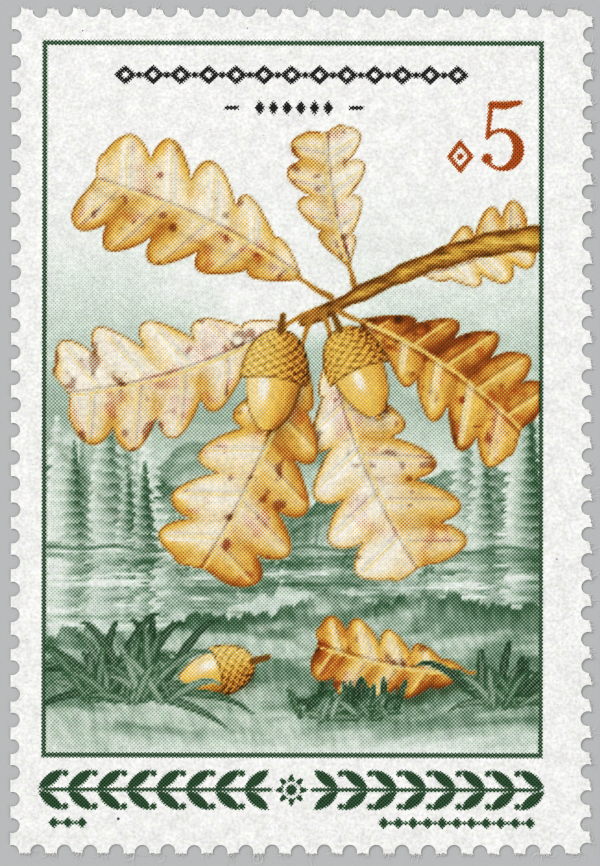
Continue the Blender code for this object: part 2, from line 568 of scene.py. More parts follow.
@dataclass(frozen=True)
class Acorn:
    """A ripe acorn in its cup, hanging along its heading in degrees. Sizes in millimetres."""

    cup: tuple[float, float]
    heading: float
    length: float = 3.6
    radius: float = 1.45
    seed: int = 3

    def paint(self, plates: Plates) -> None:
        """Paints the shadow, the nut, a turned shape lit from the upper left, and its cup.

        Args:
            plates: The plates.
        """
        u, v = plates.headed(self.cup, self.heading)
        # The side that looks to the upper left is lit, whichever way the acorn hangs.
        light_v = math.cos(math.radians(LIGHT_HEADING) - math.radians(self.heading) - math.pi / 2)
        t = np.clip(u / self.length, 0.0, 1.0)
        half = self.radius * np.sqrt(np.clip(1 - t**2.6, 0, 1)) + 0.22 * ramp(0.9, 1.0, t) * (t < 1)
        nut = half - np.abs(v)
        tip = 0.16 - np.hypot((u - self.length - 0.12) * 0.6, v)
        nut = np.where(u > self.length, tip, nut)
        depth = plates.depth(nut)
        girth = np.clip(v / np.maximum(half, 0.1), -1, 1)
        plates.shade(0.8 * ramp(-0.5, 0.5, np.roll(depth, (-3, 2), (0, 1))) * (u > -1.0))
        height = np.sqrt(1 - girth**2)
        glow = np.clip(girth * light_v * 0.8 + height * 0.6, -1, 1)
        streaks = cloudy(girth * 6, u * 0.5, 1.0, self.seed, 3) - 0.5
        stage = 0.78 - 0.50 * ramp(0.0, 1.0, glow) + 0.18 * streaks + 0.15 * ramp(0.6, 1.0, t)
        tones = turned(np.clip(stage, 0, 1))
        shaded = ramp(0.15, -0.75, glow)
        tones += shaded[..., None] * NUT_SHADE
        shine = ramp(0.30, 0.05, np.hypot(girth - 0.45 * light_v, (t - 0.42) * 1.1))
        mix_in(tones, 0.85 * shine, NUT_SHINE_INKS)
        mix_in(tones, 0.70 * ramp(0.14, 0.0, depth), NUT_RIM_INKS)
        plates.lay_body(covered(depth) * (u > 0), tones)
        self.paint_cup(plates, u, v, light_v)

    def paint_cup(self, plates: Plates, u: np.ndarray, v: np.ndarray, light_v: float) -> None:
        """Paints the scaly cup: half an ellipse behind the nut's foot, with crossing rows of
        scales that close up towards its sides, and the short stalk that it hangs on.

        Args:
            plates: The plates.
            u: Places along the acorn from the cup's rim.
            v: Places across it.
            light_v: How far the light comes from the side where v is above 0, from -1 to 1.
        """
        wide, deep = self.radius * 1.18, self.radius * 1.05
        brim = 0.34 * self.length
        back = np.clip((brim - u) / (deep + brim), 0, 1)
        half = wide * np.sqrt(np.clip(1 - back**2.4, 0, 1))
        cup = np.minimum(half - np.abs(v), brim - 0.10 * (1 - (v / wide) ** 2) * 3 - u)
        depth = plates.depth(cup)
        girth = np.arcsin(np.clip(v / np.maximum(half, 0.1), -0.98, 0.98))
        rows = u / 0.46
        scales = np.abs(np.sin(math.pi * (rows + girth * 2.2)) * np.sin(math.pi * (rows - girth * 2.2)))
        glow = np.clip(np.sin(girth) * light_v * 0.8 + np.cos(girth) * 0.6, -1, 1)
        stage = 0.95 - 0.42 * ramp(0.1, 1.0, glow) - 0.25 * scales
        tones = turned(np.clip(stage, 0, 1))
        dark = 0.55 * ramp(0.35, 0.0, scales) + 0.5 * ramp(0.1, -0.7, glow)
        tones += dark[..., None] * CUP_SHADE
        mix_in(tones, 0.70 * ramp(0.15, 0.0, depth), CUP_RIM_INKS)
        plates.lay_body(covered(depth), tones)
        angle = math.radians(self.heading)
        back_way = -np.array([math.cos(angle), math.sin(angle)])
        foot = np.array(self.cup) + back_way * deep * 0.92
        path = np.stack([foot, foot + back_way * 0.9])
        inside = stroke(plates.x, plates.y, path, np.array([0.22, 0.17]))
        plates.lay_body(covered(inside), CUP_STALK_INKS)


# How wide a blade of grass is along its length.
BLADE_WIDTHS = np.array([0.7, 1.0, 1.0, 0.85, 0.65, 0.4, 0.1])


@dataclass(frozen=True)
class Picture:
    """The framed picture: an oak bough in autumn over a lake with spruces and hills, and a fallen
    leaf and acorn on the near bank. Places are millimetres from the frame's middle. A range of
    hills has its level, swell, rate, turn, tone, roughness, mist and seed. A stand of spruces has
    its left and right ends, count and height. A tuft has its root, spread, count and height."""

    middle: tuple[float, float] = (-0.485, 1.803)
    size: tuple[float, float] = (28.317, 40.622)
    frame_line: float = 0.29
    lightening: tuple[float, float] = (1.09, 0.26)
    shore: float = -8.6
    hills: tuple[tuple[float, ...], ...] = (
        (-0.6, 1.7, 0.23, 0.6, 0.42, 0.10, 5.0, 31),
        (-3.4, 1.2, 0.31, 2.1, 0.60, 0.26, 4.2, 32),
        (-5.6, 0.8, 0.42, 4.4, 0.78, 0.42, 3.4, 33),
    )
    stands: tuple[tuple[float, float, int, float], ...] = (
        (-14.2, -8.0, 13, 8.0),
        (9.4, 14.2, 10, 9.4),
        (-7.0, 8.0, 16, 2.6),
    )
    tufts: tuple[tuple[float, float, float, int, float], ...] = (
        (-9.4, -16.6, 4.0, 60, 5.0),
        (11.8, -16.9, 2.4, 26, 3.4),
        (3.2, -17.6, 4.6, 44, 1.9),
    )
    fallen: tuple["OakLeaf | Acorn", ...] = (
        OakLeaf((10.9, -15.6), 171, 9.6, 5.4, 0.50, 111, 0.05),
        Acorn((-3.4, -15.3), 196, 3.1, 1.25, seed=6),
    )
    twig: tuple[tuple[float, float], ...] = ((14.6, 9.2), (9.5, 9.2), (5.5, 6.8), (0.6, 4.4))
    twig_points: int = 18
    twig_widths: tuple[float, float] = (0.74, 0.34)
    leaves_behind: tuple[OakLeaf, ...] = (
        OakLeaf((3.4, 7.0), 101, 8.4, 5.4, 0.12, 101, 0.05, 4),
        OakLeaf((1.4, 6.2), 154, 14.2, 8.6, 0.28, 102, -0.05),
        OakLeaf((6.4, 7.2), 20, 7.4, 5.2, 0.22, 103, -0.06, 4),
    )
    leaves_before: tuple[OakLeaf, ...] = (
        OakLeaf((3.0, 4.8), 327, 12.0, 8.0, 0.68, 104, 0.06),
        OakLeaf((0.6, 4.8), 199, 14.2, 8.8, 0.10, 105, 0.06),
        OakLeaf((2.0, 4.2), 291, 14.6, 9.2, 0.16, 106, -0.05),
        OakLeaf((0.8, 4.0), 247, 14.8, 9.0, 0.40, 107, 0.04),
    )
    acorns: tuple[Acorn, ...] = (
        Acorn((-0.9, 2.3), 262, 4.1, 1.65, seed=3),
        Acorn((3.3, 2.6), 294, 3.8, 1.55, seed=4),
    )

    def tones(self, x: np.ndarray, y: np.ndarray) -> np.ndarray:
        """Paints the picture from back to front and trims it to its frame.

        Args:
            x: The grid's positions across, on the sheet.
            y: Its positions up.

        Returns:
            The four inks' tones at every position.
        """
        plates = Plates(x - self.middle[0], y - self.middle[1])
        self.paint_sky(plates)
        self.paint_hills(plates)
        self.paint_spruces(plates)
        self.paint_lake(plates)
        self.paint_bank(plates)
        # The landscape is printed lightly, so that what lies before it stands out.
        green = plates.tones[..., Ink.GREEN]
        plates.tones[..., Ink.GREEN] = green * (self.lightening[0] - self.lightening[1] * green)
        self.paint_fallen(plates)
        self.paint_tufts(plates)
        self.paint_bough(plates)
        inside = (np.abs(plates.x) < self.size[0] / 2) & (np.abs(plates.y) < self.size[1] / 2)
        return np.clip(plates.tones * inside[..., None], 0.0, 1.0)

    def paint_sky(self, plates: Plates) -> None:
        """Paints the sky: bare paper above, and below it clouds as the brighter parts of cloudy
        noise, greener between them towards the horizon.

        Args:
            plates: The plates.
        """
        x, y = plates.x, plates.y
        heap = cloudy(x * 0.5, y, 6.5, Seed.CLOUDS, 5)
        low = ramp(14.0, -4.0, y)
        plates.tones[..., Ink.GREEN] = low * (0.03 + 0.50 * ramp(0.60, 0.34, heap))
        plates.tones[..., Ink.YELLOW] = 0.04 * ramp(4.0, -5.0, y)

    def paint_hills(self, plates: Plates) -> None:
        """Paints ranges of hills, each lower and darker than the one behind it: a few sines and
        cloudy noise give its skyline, and its tone thins out downwards into mist. The crowns of
        its woods are round lumps of noise, darker towards their lower right.

        Args:
            plates: The plates.
        """
        x, y = plates.x, plates.y
        for level, swell, rate, turn, top_tone, rough, mist, seed in self.hills:
            skyline = level + swell * np.sin(rate * x + turn) + 0.4 * swell * np.sin(2.7 * rate * x)
            skyline = skyline + 4.4 * rough * (cloudy(x, 0.0 * y, 1.1, seed, 4) - 0.5)
            under = skyline - y
            wood = cloudy(x, y * 1.4, 0.9, seed + 7, 3) - cloudy(x + 0.2, y * 1.4 - 0.3, 0.9, seed + 7, 3)
            tone = top_tone * (1 - 0.62 * ramp(0.0, mist, under)) * (1.0 - 2.6 * rough * wood)
            plates.lay(covered(under, 0.15), landscape(tone, 0.04, 0.16 * rough * ramp(1.2, 0.0, under)))

    def paint_spruces(self, plates: Plates) -> None:
        """Paints stands of spruces on the far shore: each is a cone from its tip, whose half
        width has a saw of drooping boughs, darker on its right and towards the front.

        Args:
            plates: The plates.
        """
        x, y = plates.x, plates.y
        draws = np.random.default_rng(Seed.SPRUCES)
        for left, right, count, size in self.stands:
            for tree in range(count):
                near = tree / count
                stem = draws.uniform(left, right)
                tall = size * draws.uniform(0.45, 1.0)
                foot = self.shore + 0.5 - 0.6 * near
                patch = around(x, y, (stem, foot + tall / 2), (0.30 * tall, 0.55 * tall + 0.2))
                dx, drop = x[patch] - stem, (foot + tall - y[patch]) / tall
                bough = (drop * (5 + 0.8 * tall) + 2.5 * np.abs(dx) / tall + near * 7) % 1.0
                half = tall * (0.012 + 0.20 * np.clip(drop, 0, 1) ** 0.9 * (0.35 + 0.65 * bough))
                half = half * (1 + 0.5 * (cloudy(x[patch], y[patch], 0.3, Seed.NEEDLES, 2) - 0.5))
                cover = covered(half - np.abs(dx)) * (drop > 0) * (drop < 1)
                side = np.clip(dx / half, -1, 1)
                tone = (0.34 + 0.80 * near) * (0.92 + 0.30 * side - 0.38 * bough) * (1 - 0.40 * drop**3)
                shade = 0.30 * near * ramp(-0.4, 0.8, side) * (1 - 0.6 * bough)
                mix_in(plates.tones[patch], cover, landscape(tone, 0.05, shade))

    def paint_lake(self, plates: Plates) -> None:
        """Paints the lake: what stands over the shore mirrored below it, shifted sideways by
        ripples, paler further out, and broken by level streaks of stretched noise.

        Args:
            plates: The plates.
        """
        x, y = plates.x, plates.y
        under = self.shore + 0.10 * np.sin(1.7 * x) + 0.12 * np.sin(0.5 * x + 1.0) - y
        ripple = cloudy(x * 0.15, y * 3.2, 0.9, Seed.RIPPLES, 3) - 0.5
        streak = cloudy(x * 0.20, y * 2.3, 0.9, Seed.STREAKS, 4)
        numbers = np.arange(len(y))
        rows = np.interp(2 * self.shore - y[:, 0], y[:, 0], numbers).round().astype(int)
        columns = np.clip(np.arange(x.shape[1]) + (10 * ripple).round().astype(int), 0, x.shape[1] - 1)
        tones = plates.tones[rows[:, None], columns] * (0.80 - 0.45 * ramp(0.0, 4.5, under))[..., None]
        tones[..., Ink.BLACK] = 0.0
        tones[..., Ink.GREEN] += 0.15 + 0.20 * ramp(0.55, 0.72, streak)
        tones *= (1 - 0.62 * ramp(0.42, 0.30, streak))[..., None]
        plates.lay(covered(under), tones)
        edge = ramp(0.20, 0.0, np.abs(under)) * 0.7
        plates.tones[..., Ink.GREEN] += edge * (0.92 - plates.tones[..., Ink.GREEN])

    def paint_bank(self, plates: Plates) -> None:
        """Paints the near bank: swathes of light and shade along its slope, short slanting grass,
        and a dark fringe along the water. It thins out before the lower frame line.

        Args:
            plates: The plates.
        """
        x, y = plates.x, plates.y
        top = -12.3 + 1.1 * np.sin(0.16 * x + 0.5) + 0.25 * np.sin(0.9 * x)
        under = top + 0.9 * (cloudy(x, 0.0 * y, 0.30, Seed.BANK_EDGE, 2) - 0.5) - y
        slope = y + 0.9 * np.sin(0.19 * x + 2.0)
        swathe = cloudy(x * 0.30, slope * 1.5, 2.0, Seed.SWATHES, 4)
        grass = cloudy(x * 2.6 + y * 0.9, y * 0.8, 0.7, Seed.GRASS, 3)
        thin = ramp(-21.0, -18.6, y + 3.0 * (swathe - 0.5))
        tone = 0.67 - 0.30 * ramp(0.36, 0.60, swathe) + 0.32 * (grass - 0.5)
        tone = (tone + 0.22 * ramp(1.3, 0.0, under)) * (0.20 + 0.80 * thin)
        plates.lay(covered(under), landscape(tone, 0.06 * thin, 0.12 * ramp(0.8, 0.0, under)))

    def paint_fallen(self, plates: Plates) -> None:
        """Paints a fallen leaf and an acorn on the bank, with their shadows on the ground.

        Args:
            plates: The plates.
        """
        for fallen in self.fallen:
            plates.body.fill(1.0)
            fallen.paint(plates)
        plates.body.fill(0.0)

    def paint_tufts(self, plates: Plates) -> None:
        """Paints tufts of grass on the near bank: arching blades from a few roots, darkest at the
        back, each with a lit middle.

        Args:
            plates: The plates.
        """
        x, y = plates.x, plates.y
        draws = np.random.default_rng(Seed.TUFTS)
        for root_x, root_y, spread, count, size in self.tufts:
            for blade in range(count):
                near = blade / count
                lean = draws.normal(0.0, 0.75)
                tall = size * draws.uniform(0.45, 1.0) * (1.15 - 0.3 * near)
                foot = np.array([root_x + spread * draws.uniform(-0.6, 0.6), root_y - 0.7 * near])
                top = foot + np.array([math.sin(lean), math.cos(lean)]) * tall
                droop = top + np.array([math.copysign(0.35, lean), -0.30]) * tall * abs(lean)
                path = curve((foot, top, droop), len(BLADE_WIDTHS))
                patch = around(x, y, tuple(foot), (tall * 1.6, tall * 1.6))
                inside = stroke(x[patch], y[patch], path, BLADE_WIDTHS * (0.16 + 0.016 * size))
                dark = 1.0 - 0.40 * near * draws.uniform(0.3, 1.0)
                tones = np.array([0.14, 0.0, dark, 0.42 * (1 - near)])
                cover = covered(inside, 0.10)
                mix_in(plates.tones[patch], cover, tones)
                plates.tones[patch][..., Ink.GREEN] -= ramp(0.02, 0.13, inside) * 0.30 * cover * dark

    def paint_bough(self, plates: Plates) -> None:
        """Paints the twig, which reaches in from the upper right, and what grows on it.

        Args:
            plates: The plates.
        """
        x, y = plates.x, plates.y
        path = curve(self.twig, self.twig_points)
        knots = 0.08 * np.sin(np.arange(self.twig_points) * 2.1)
        widths = np.linspace(*self.twig_widths, self.twig_points) + knots
        for leaf in self.leaves_behind:
            leaf.paint(plates)
        inside = stroke(x, y, path, widths)
        bark = cloudy(x * 0.6 + y, y * 2.4, 0.5, Seed.BARK, 3)
        across = np.clip(inside / 0.6, 0, 1)
        tones = turned(np.clip(1.05 - 0.72 * across * bark, 0, 1))
        tones[..., Ink.GREEN] += 0.25 * (1 - bark)
        tones[..., Ink.BLACK] += 0.20 * ramp(0.5, 0.1, across)
        plates.lay_body(covered(inside), tones)
        for hanging in self.leaves_before + self.acorns:
            hanging.paint(plates)


def hollow(inside: np.ndarray, half_line: float) -> np.ndarray:
    """How far inside a line along the inner side of an outline a place is, from its depth in it."""
    return half_line - np.abs(inside - half_line)


def lozenge(x: np.ndarray, y: np.ndarray, half_wide: float, half_high: float) -> np.ndarray:
    """How far inside a lozenge a place is: 1 - |x|/a - |y|/b, over the length of its gradient."""
    slope = math.hypot(1 / half_wide, 1 / half_high)
    return (1 - np.abs(x) / half_wide - np.abs(y) / half_high) / slope


def pointed_oval(x: np.ndarray, y: np.ndarray, half_long: float, half_wide: float) -> np.ndarray:
    """How far inside a pointed oval a place is: the overlap of two equal circles whose arcs meet
    at its points.

    Args:
        x: Positions along it from its middle.
        y: Positions across it.
        half_long: Half its length.
        half_wide: Half its width.

    Returns:
        The depths.
    """
    radius = (half_long**2 + half_wide**2) / (2 * half_wide)
    offset = radius - half_wide
    return radius - np.hypot(x, np.abs(y) + offset)


@dataclass(frozen=True)
class Row:
    """A level row of evenly spaced repeats of a motif, with its sizes in millimetres."""

    middle: float
    level: float
    pitch: float
    count: int

    def away(self, x: np.ndarray, y: np.ndarray) -> tuple[np.ndarray, np.ndarray]:
        """How far places are across and up from the middle of the repeat nearest to each.

        Args:
            x: Positions across.
            y: Positions up.

        Returns:
            The distances across and those up.
        """
        start = self.middle - self.pitch * (self.count - 1) / 2
        number = np.clip(np.round((x - start) / self.pitch), 0, self.count - 1)
        return x - start - number * self.pitch, y - self.level

    def between(self) -> "Row":
        """The row of the places half way between this one's repeats."""
        return replace(self, count=self.count - 1)


@dataclass(frozen=True)
class Numeral:
    """The face value, a plain 5, and a small open lozenge with a dot before it. The figure's
    lines are in shares of its width and height, and the rest is in millimetres."""

    corner: tuple[float, float] = (10.22, 14.76)
    size: tuple[float, float] = (2.5, 4.12)
    flag: tuple[tuple[float, float], ...] = ((0.24, 0.935), (0.55, 0.925), (0.90, 0.965))
    flag_widths: tuple[float, ...] = (0.20, 0.23, 0.13)
    stem: tuple[tuple[float, float], ...] = ((0.235, 0.93), (0.155, 0.49))
    stem_widths: tuple[float, ...] = (0.135, 0.125)
    bowl_middle: tuple[float, float] = (0.46, 0.315)
    bowl_radii: tuple[float, float] = (0.40, 0.265)
    bowl_turn: tuple[float, float] = (142.0, -146.0)
    bowl_points: int = 26
    thin: float = 0.11
    swell: float = 0.22
    swell_turn: float = 0.1
    swell_power: float = 1.2
    ball: float = 0.30
    ball_shift: tuple[float, float] = (0.04, 0.10)
    mark: Row = Row(9.05, 15.66, 1.0, 1)
    mark_half: tuple[float, float] = (0.78, 1.0)
    mark_line: float = 0.13
    mark_dot: float = 0.19

    def depth(self, x: np.ndarray, y: np.ndarray) -> np.ndarray:
        """How far inside its outlines a place is: the largest of its strokes' depths. They are
        a flag, a thin stem, and a bowl that swells on its right and ends in a ball.

        Args:
            x: Positions across.
            y: Positions up.

        Returns:
            The depths.
        """
        flag, stem = [np.array(line) * self.size + self.corner for line in (self.flag, self.stem)]
        turn = np.radians(np.linspace(*self.bowl_turn, self.bowl_points))
        bowl = self.bowl_middle + np.stack([np.cos(turn), np.sin(turn)], axis=-1) * self.bowl_radii
        bowl = bowl * self.size + self.corner
        right = np.cos(turn + self.swell_turn).clip(0.0, 1.0)
        swelling = self.thin + self.swell * right**self.swell_power
        dx, dy = self.mark.away(x, y)
        lines = [
            stroke(x, y, flag, np.array(self.flag_widths)),
            stroke(x, y, stem, np.array(self.stem_widths)),
            stroke(x, y, bowl, swelling),
            self.ball - np.hypot(x - bowl[-1, 0] - self.ball_shift[0], y - bowl[-1, 1] - self.ball_shift[1]),
            hollow(lozenge(dx, dy, *self.mark_half), self.mark_line),
            self.mark_dot - np.hypot(dx, dy),
        ]
        return np.maximum.reduce(lines)


@dataclass(frozen=True)
class Ornament:
    """The ornament round the picture, in millimetres: two black rows at the top, a bold green
    garland below the frame, and two small green rows below that. Each method gives how far inside
    the outlines a place is."""

    upper: Row = Row(-0.58, 20.29, 1.58, 13)
    upper_half: tuple[float, float] = (0.66, 0.57)
    upper_line: float = 0.135
    upper_dot: float = 0.19
    lower: Row = Row(-0.44, 18.42, 0.78, 6)
    lower_half: tuple[float, float] = (0.29, 0.45)
    dashes: Row = Row(-0.44, 18.42, 7.10, 2)
    dash_half: tuple[float, float] = (0.42, 0.11)
    small: tuple[Row, Row] = (Row(-13.265, -22.37, 0.805, 3), Row(8.92, -22.37, 0.834, 11))
    small_half: tuple[float, float] = (0.31, 0.35)
    small_dot: float = 0.12
    band_middle: float = -0.52
    pairs: Row = Row(7.86, -20.49, 1.68, 8)
    leaf_away: float = 0.60
    leaf_half: tuple[float, float] = (0.88, 0.32)
    leaf_slant: float = 38.0
    berry_away: float = 0.94
    berry: float = 0.19
    stem: float = 0.11
    stem_ends: tuple[float, float] = (1.1, 14.2)
    petals: int = 8
    rosette: float = 0.72
    rosette_wave: float = 0.20
    rosette_ring: tuple[float, float] = (0.40, 0.09)

    def black(self, x: np.ndarray, y: np.ndarray) -> np.ndarray:
        """The black rows: open lozenges in turn with dots, and below them solid lozenges
        between two dashes.

        Args:
            x: Positions across.
            y: Positions up.

        Returns:
            The depths.
        """
        dash = np.abs(np.stack(self.dashes.away(x, y), axis=-1))
        lines = [
            hollow(lozenge(*self.upper.away(x, y), *self.upper_half), self.upper_line),
            self.upper_dot - np.hypot(*self.upper.between().away(x, y)),
            lozenge(*self.lower.away(x, y), *self.lower_half),
            (self.dash_half - dash).min(axis=-1),
        ]
        return np.maximum.reduce(lines)

    def garland(self, x: np.ndarray, y: np.ndarray) -> np.ndarray:
        """The green band: paired leaves and berries on a stem, which runs from both ends towards
        a rosette, a circle whose radius is a cosine of the turn, with a ring cut out of it.

        Args:
            x: Positions across.
            y: Positions up.

        Returns:
            The depths.
        """
        out = np.abs(x - self.band_middle)
        dx, dy = self.pairs.away(out, y)
        up = np.abs(dy)
        slant = math.radians(self.leaf_slant)
        along = (up - self.leaf_away) * math.sin(slant) - dx * math.cos(slant)
        over = (up - self.leaf_away) * math.cos(slant) + dx * math.sin(slant)
        berry_dx, _ = self.pairs.between().away(out, y)
        stem = np.minimum.reduce([self.stem - up, self.stem_ends[1] - out, out - self.stem_ends[0]])
        away = np.hypot(out, dy)
        wave = self.rosette_wave * np.cos(self.petals * np.arctan2(dy, x - self.band_middle))
        ring, ring_half = self.rosette_ring
        lines = [
            pointed_oval(along, over, *self.leaf_half),
            self.berry - np.hypot(berry_dx, up - self.berry_away),
            stem,
            np.minimum(self.rosette + wave - away, np.abs(away - ring) - ring_half),
        ]
        return np.maximum.reduce(lines)

    def green(self, x: np.ndarray, y: np.ndarray) -> np.ndarray:
        """The green line work: the garland, and the small rows of lozenges in turn with dots.

        Args:
            x: Positions across.
            y: Positions up.

        Returns:
            The depths.
        """
        lines = [self.garland(x, y)]
        for row in self.small:
            lines.append(lozenge(*row.away(x, y), *self.small_half))
            lines.append(self.small_dot - np.hypot(*row.between().away(x, y)))
        return np.maximum.reduce(lines)


def loop_edges(start: int, count: int) -> list[list[int]]:
    """The edges that close a loop of points numbered from start."""
    numbers = np.arange(count)
    return np.stack([start + numbers, start + (numbers + 1) % count], axis=-1).tolist()


def filled(outline: np.ndarray, inner: np.ndarray, hole: bool) -> np.ndarray:
    """Fills an outline with triangles that face up, by constrained Delaunay triangulation. A
    triangle with all three corners on the outline lies outside it where they turn clockwise in
    the outline's own order.

    Args:
        outline: The outer loop's points, anticlockwise.
        inner: More points inside it.
        hole: Whether the inner points are the loop of a rectangle that stays empty.

    Returns:
        The triangles, as numbers into the outline's points followed by the inner ones.
    """
    points = np.concatenate([outline, inner])
    edges = loop_edges(0, len(outline))
    if hole:
        edges += loop_edges(len(outline), len(inner))
    _, _, made, origins, _, _ = delaunay_2d_cdt(points.tolist(), edges, [], 1, 1e-7, True)
    numbers = np.array([origin[0] for origin in origins])
    faces = np.sort(numbers[np.array(made)], axis=1)
    a, b, c = points[faces.T]
    turn = (b - a)[:, 0] * (c - a)[:, 1] - (b - a)[:, 1] * (c - a)[:, 0]
    kept = (turn > 0) | (faces[:, 2] >= len(outline))
    if hole:
        kept &= faces[:, 0] < len(outline)
    faces[turn < 0] = faces[turn < 0][:, ::-1]
    return faces[kept]


def walls(below: np.ndarray, above: np.ndarray) -> np.ndarray:
    """The quads that join two anticlockwise loops, given as point numbers, facing outwards."""
    return np.stack([below, np.roll(below, -1), np.roll(above, -1), above], axis=-1)


@dataclass(frozen=True)
class Unwrap:
    """Where a flat piece's faces go on its baked picture: its main face over most of it, the
    other face as a small copy beside that, and its side walls in strips."""

    half: tuple[float, float] = (16.75, 24.3)
    margin: float = 0.006
    side: float = 0.70
    side_width: float = 0.28
    copy_foot: float = 0.25
    rows: int = 8
    row_height: float = 0.014
    row_fill: float = 0.85

    def main_face(self, points: np.ndarray, mirrored: bool = False) -> np.ndarray:
        """Places points of the main face: shifted and scaled to the picture's height.

        Args:
            points: The points, in millimetres from the middle of the hole centres.
            mirrored: Whether the face looks down, so that left and right change places.

        Returns:
            Their places.
        """
        scale = (1.0 - 2.0 * self.margin) / (2.0 * self.half[1])
        across = -points[..., 0] if mirrored else points[..., 0]
        flat = np.stack([across + self.half[0], points[..., 1] + self.half[1]], axis=-1)
        return self.margin + flat * scale

    def other_face(self, points: np.ndarray) -> np.ndarray:
        """Places points of the face that is hidden: mirrored and scaled to the side's width.

        Args:
            points: The points.

        Returns:
            Their places.
        """
        scale = self.side_width / (2.0 * self.half[0])
        across, up = self.half[0] - points[..., 0], points[..., 1] + self.half[1]
        return np.stack([self.side + across * scale, self.copy_foot + up * scale], axis=-1)

    def wall(self, count: int, band: int) -> np.ndarray:
        """Places the quads of a side wall side by side, in rows at the side's foot.

        Args:
            count: How many quads go round the piece.
            band: 0 for the lower of two walls, 1 for the upper.

        Returns:
            The places of each quad's corners.
        """
        number = np.arange(count)
        per_row = math.ceil(count / self.rows)
        wide, high = self.side_width / per_row, self.row_fill * self.row_height
        left = self.side + wide * (number % per_row)
        low = self.margin + self.row_height * (number // per_row * 2 + band)
        corners = np.array([[0, 0], [wide, 0], [wide, high], [0, high]])
        return np.stack([left, low], axis=-1)[:, None] + corners


@dataclass
class Shape:
    """A mesh in the making: points in millimetres from the middle of the hole centres, and
    faces with the place of each of their corners on the baked picture."""

    points: np.ndarray
    faces: list[np.ndarray] = field(default_factory=list)
    places: list[np.ndarray] = field(default_factory=list)

    def add(self, faces: np.ndarray, places: np.ndarray) -> None:
        """Adds faces, as rows of point numbers, with the places of their corners."""
        self.faces.append(faces)
        self.places.append(places)

    def piece(self, name: str, origin: np.ndarray, smooth: bool = False) -> bpy.types.Object:
        """Makes the mesh and an object for it.

        Args:
            name: The piece's name.
            origin: The part's origin, in the shape's own millimetres.
            smooth: Whether it is shaded smooth.

        Returns:
            The object, which sits at the part's origin.
        """
        mesh = bpy.data.meshes.new(name)
        shift = np.array([origin[0], origin[1], 0.0])
        mesh.vertices.add(len(self.points))
        mesh.vertices.foreach_set("co", ((self.points - shift) * MM).astype(np.float32).ravel())
        corners = np.concatenate([faces.ravel() for faces in self.faces])
        sizes = np.concatenate([np.full(len(faces), faces.shape[1]) for faces in self.faces])
        mesh.loops.add(len(corners))
        mesh.loops.foreach_set("vertex_index", corners.astype(np.int32))
        mesh.polygons.add(len(sizes))
        mesh.polygons.foreach_set("loop_start", (np.cumsum(sizes) - sizes).astype(np.int32))
        places = np.concatenate([places.reshape(-1, 2) for places in self.places])
        layer = mesh.uv_layers.new(name="OFBake")
        layer.uv.foreach_set("vector", places.astype(np.float32).ravel())
        mesh.update(calc_edges=True)
        mesh.polygons.foreach_set("use_smooth", np.full(len(sizes), smooth))
        piece = bpy.data.objects.new(name, mesh)
        bpy.context.scene.collection.objects.link(piece)
        return piece


def paint_points(piece: bpy.types.Object, name: str, channels: np.ndarray) -> None:
    """Stores four numbers with each point of a piece, for its material to read."""
    layer = piece.data.color_attributes.new(name, "FLOAT_COLOR", "POINT")
    layer.data.foreach_set("color", channels.astype(np.float32).ravel())


class Wire:
    """A node's output, with arithmetic that adds Math nodes."""

    def __init__(self, graph: "Graph", socket: bpy.types.NodeSocket) -> None:
        """Wraps an output socket of a graph."""
        self.graph = graph
        self.socket = socket

    def __add__(self, other: "Wire | float") -> "Wire":
        """The sum."""
        return self.graph.maths("ADD", self, other)

    __radd__ = __add__

    def __sub__(self, other: "Wire | float") -> "Wire":
        """The difference."""
        return self.graph.maths("SUBTRACT", self, other)

    def __rsub__(self, other: float) -> "Wire":
        """A number less this."""
        return self.graph.maths("SUBTRACT", other, self)

    def __mul__(self, other: "Wire | float") -> "Wire":
        """The product."""
        return self.graph.maths("MULTIPLY", self, other)

    __rmul__ = __mul__

    def __truediv__(self, other: "Wire | float") -> "Wire":
        """The quotient."""
        return self.graph.maths("DIVIDE", self, other)

    def __abs__(self) -> "Wire":
        """The size without its sign."""
        return self.graph.maths("ABSOLUTE", self)


Colour = tuple[float, float, float, float]


@dataclass(frozen=True)
class Pattern:
    """Cloudy noise: its rate in clouds to a millimetre, how many finer layers it has, and the
    two values that a step over it runs between."""

    rate: float
    layers: float
    low: float = 0.0
    high: float = 1.0


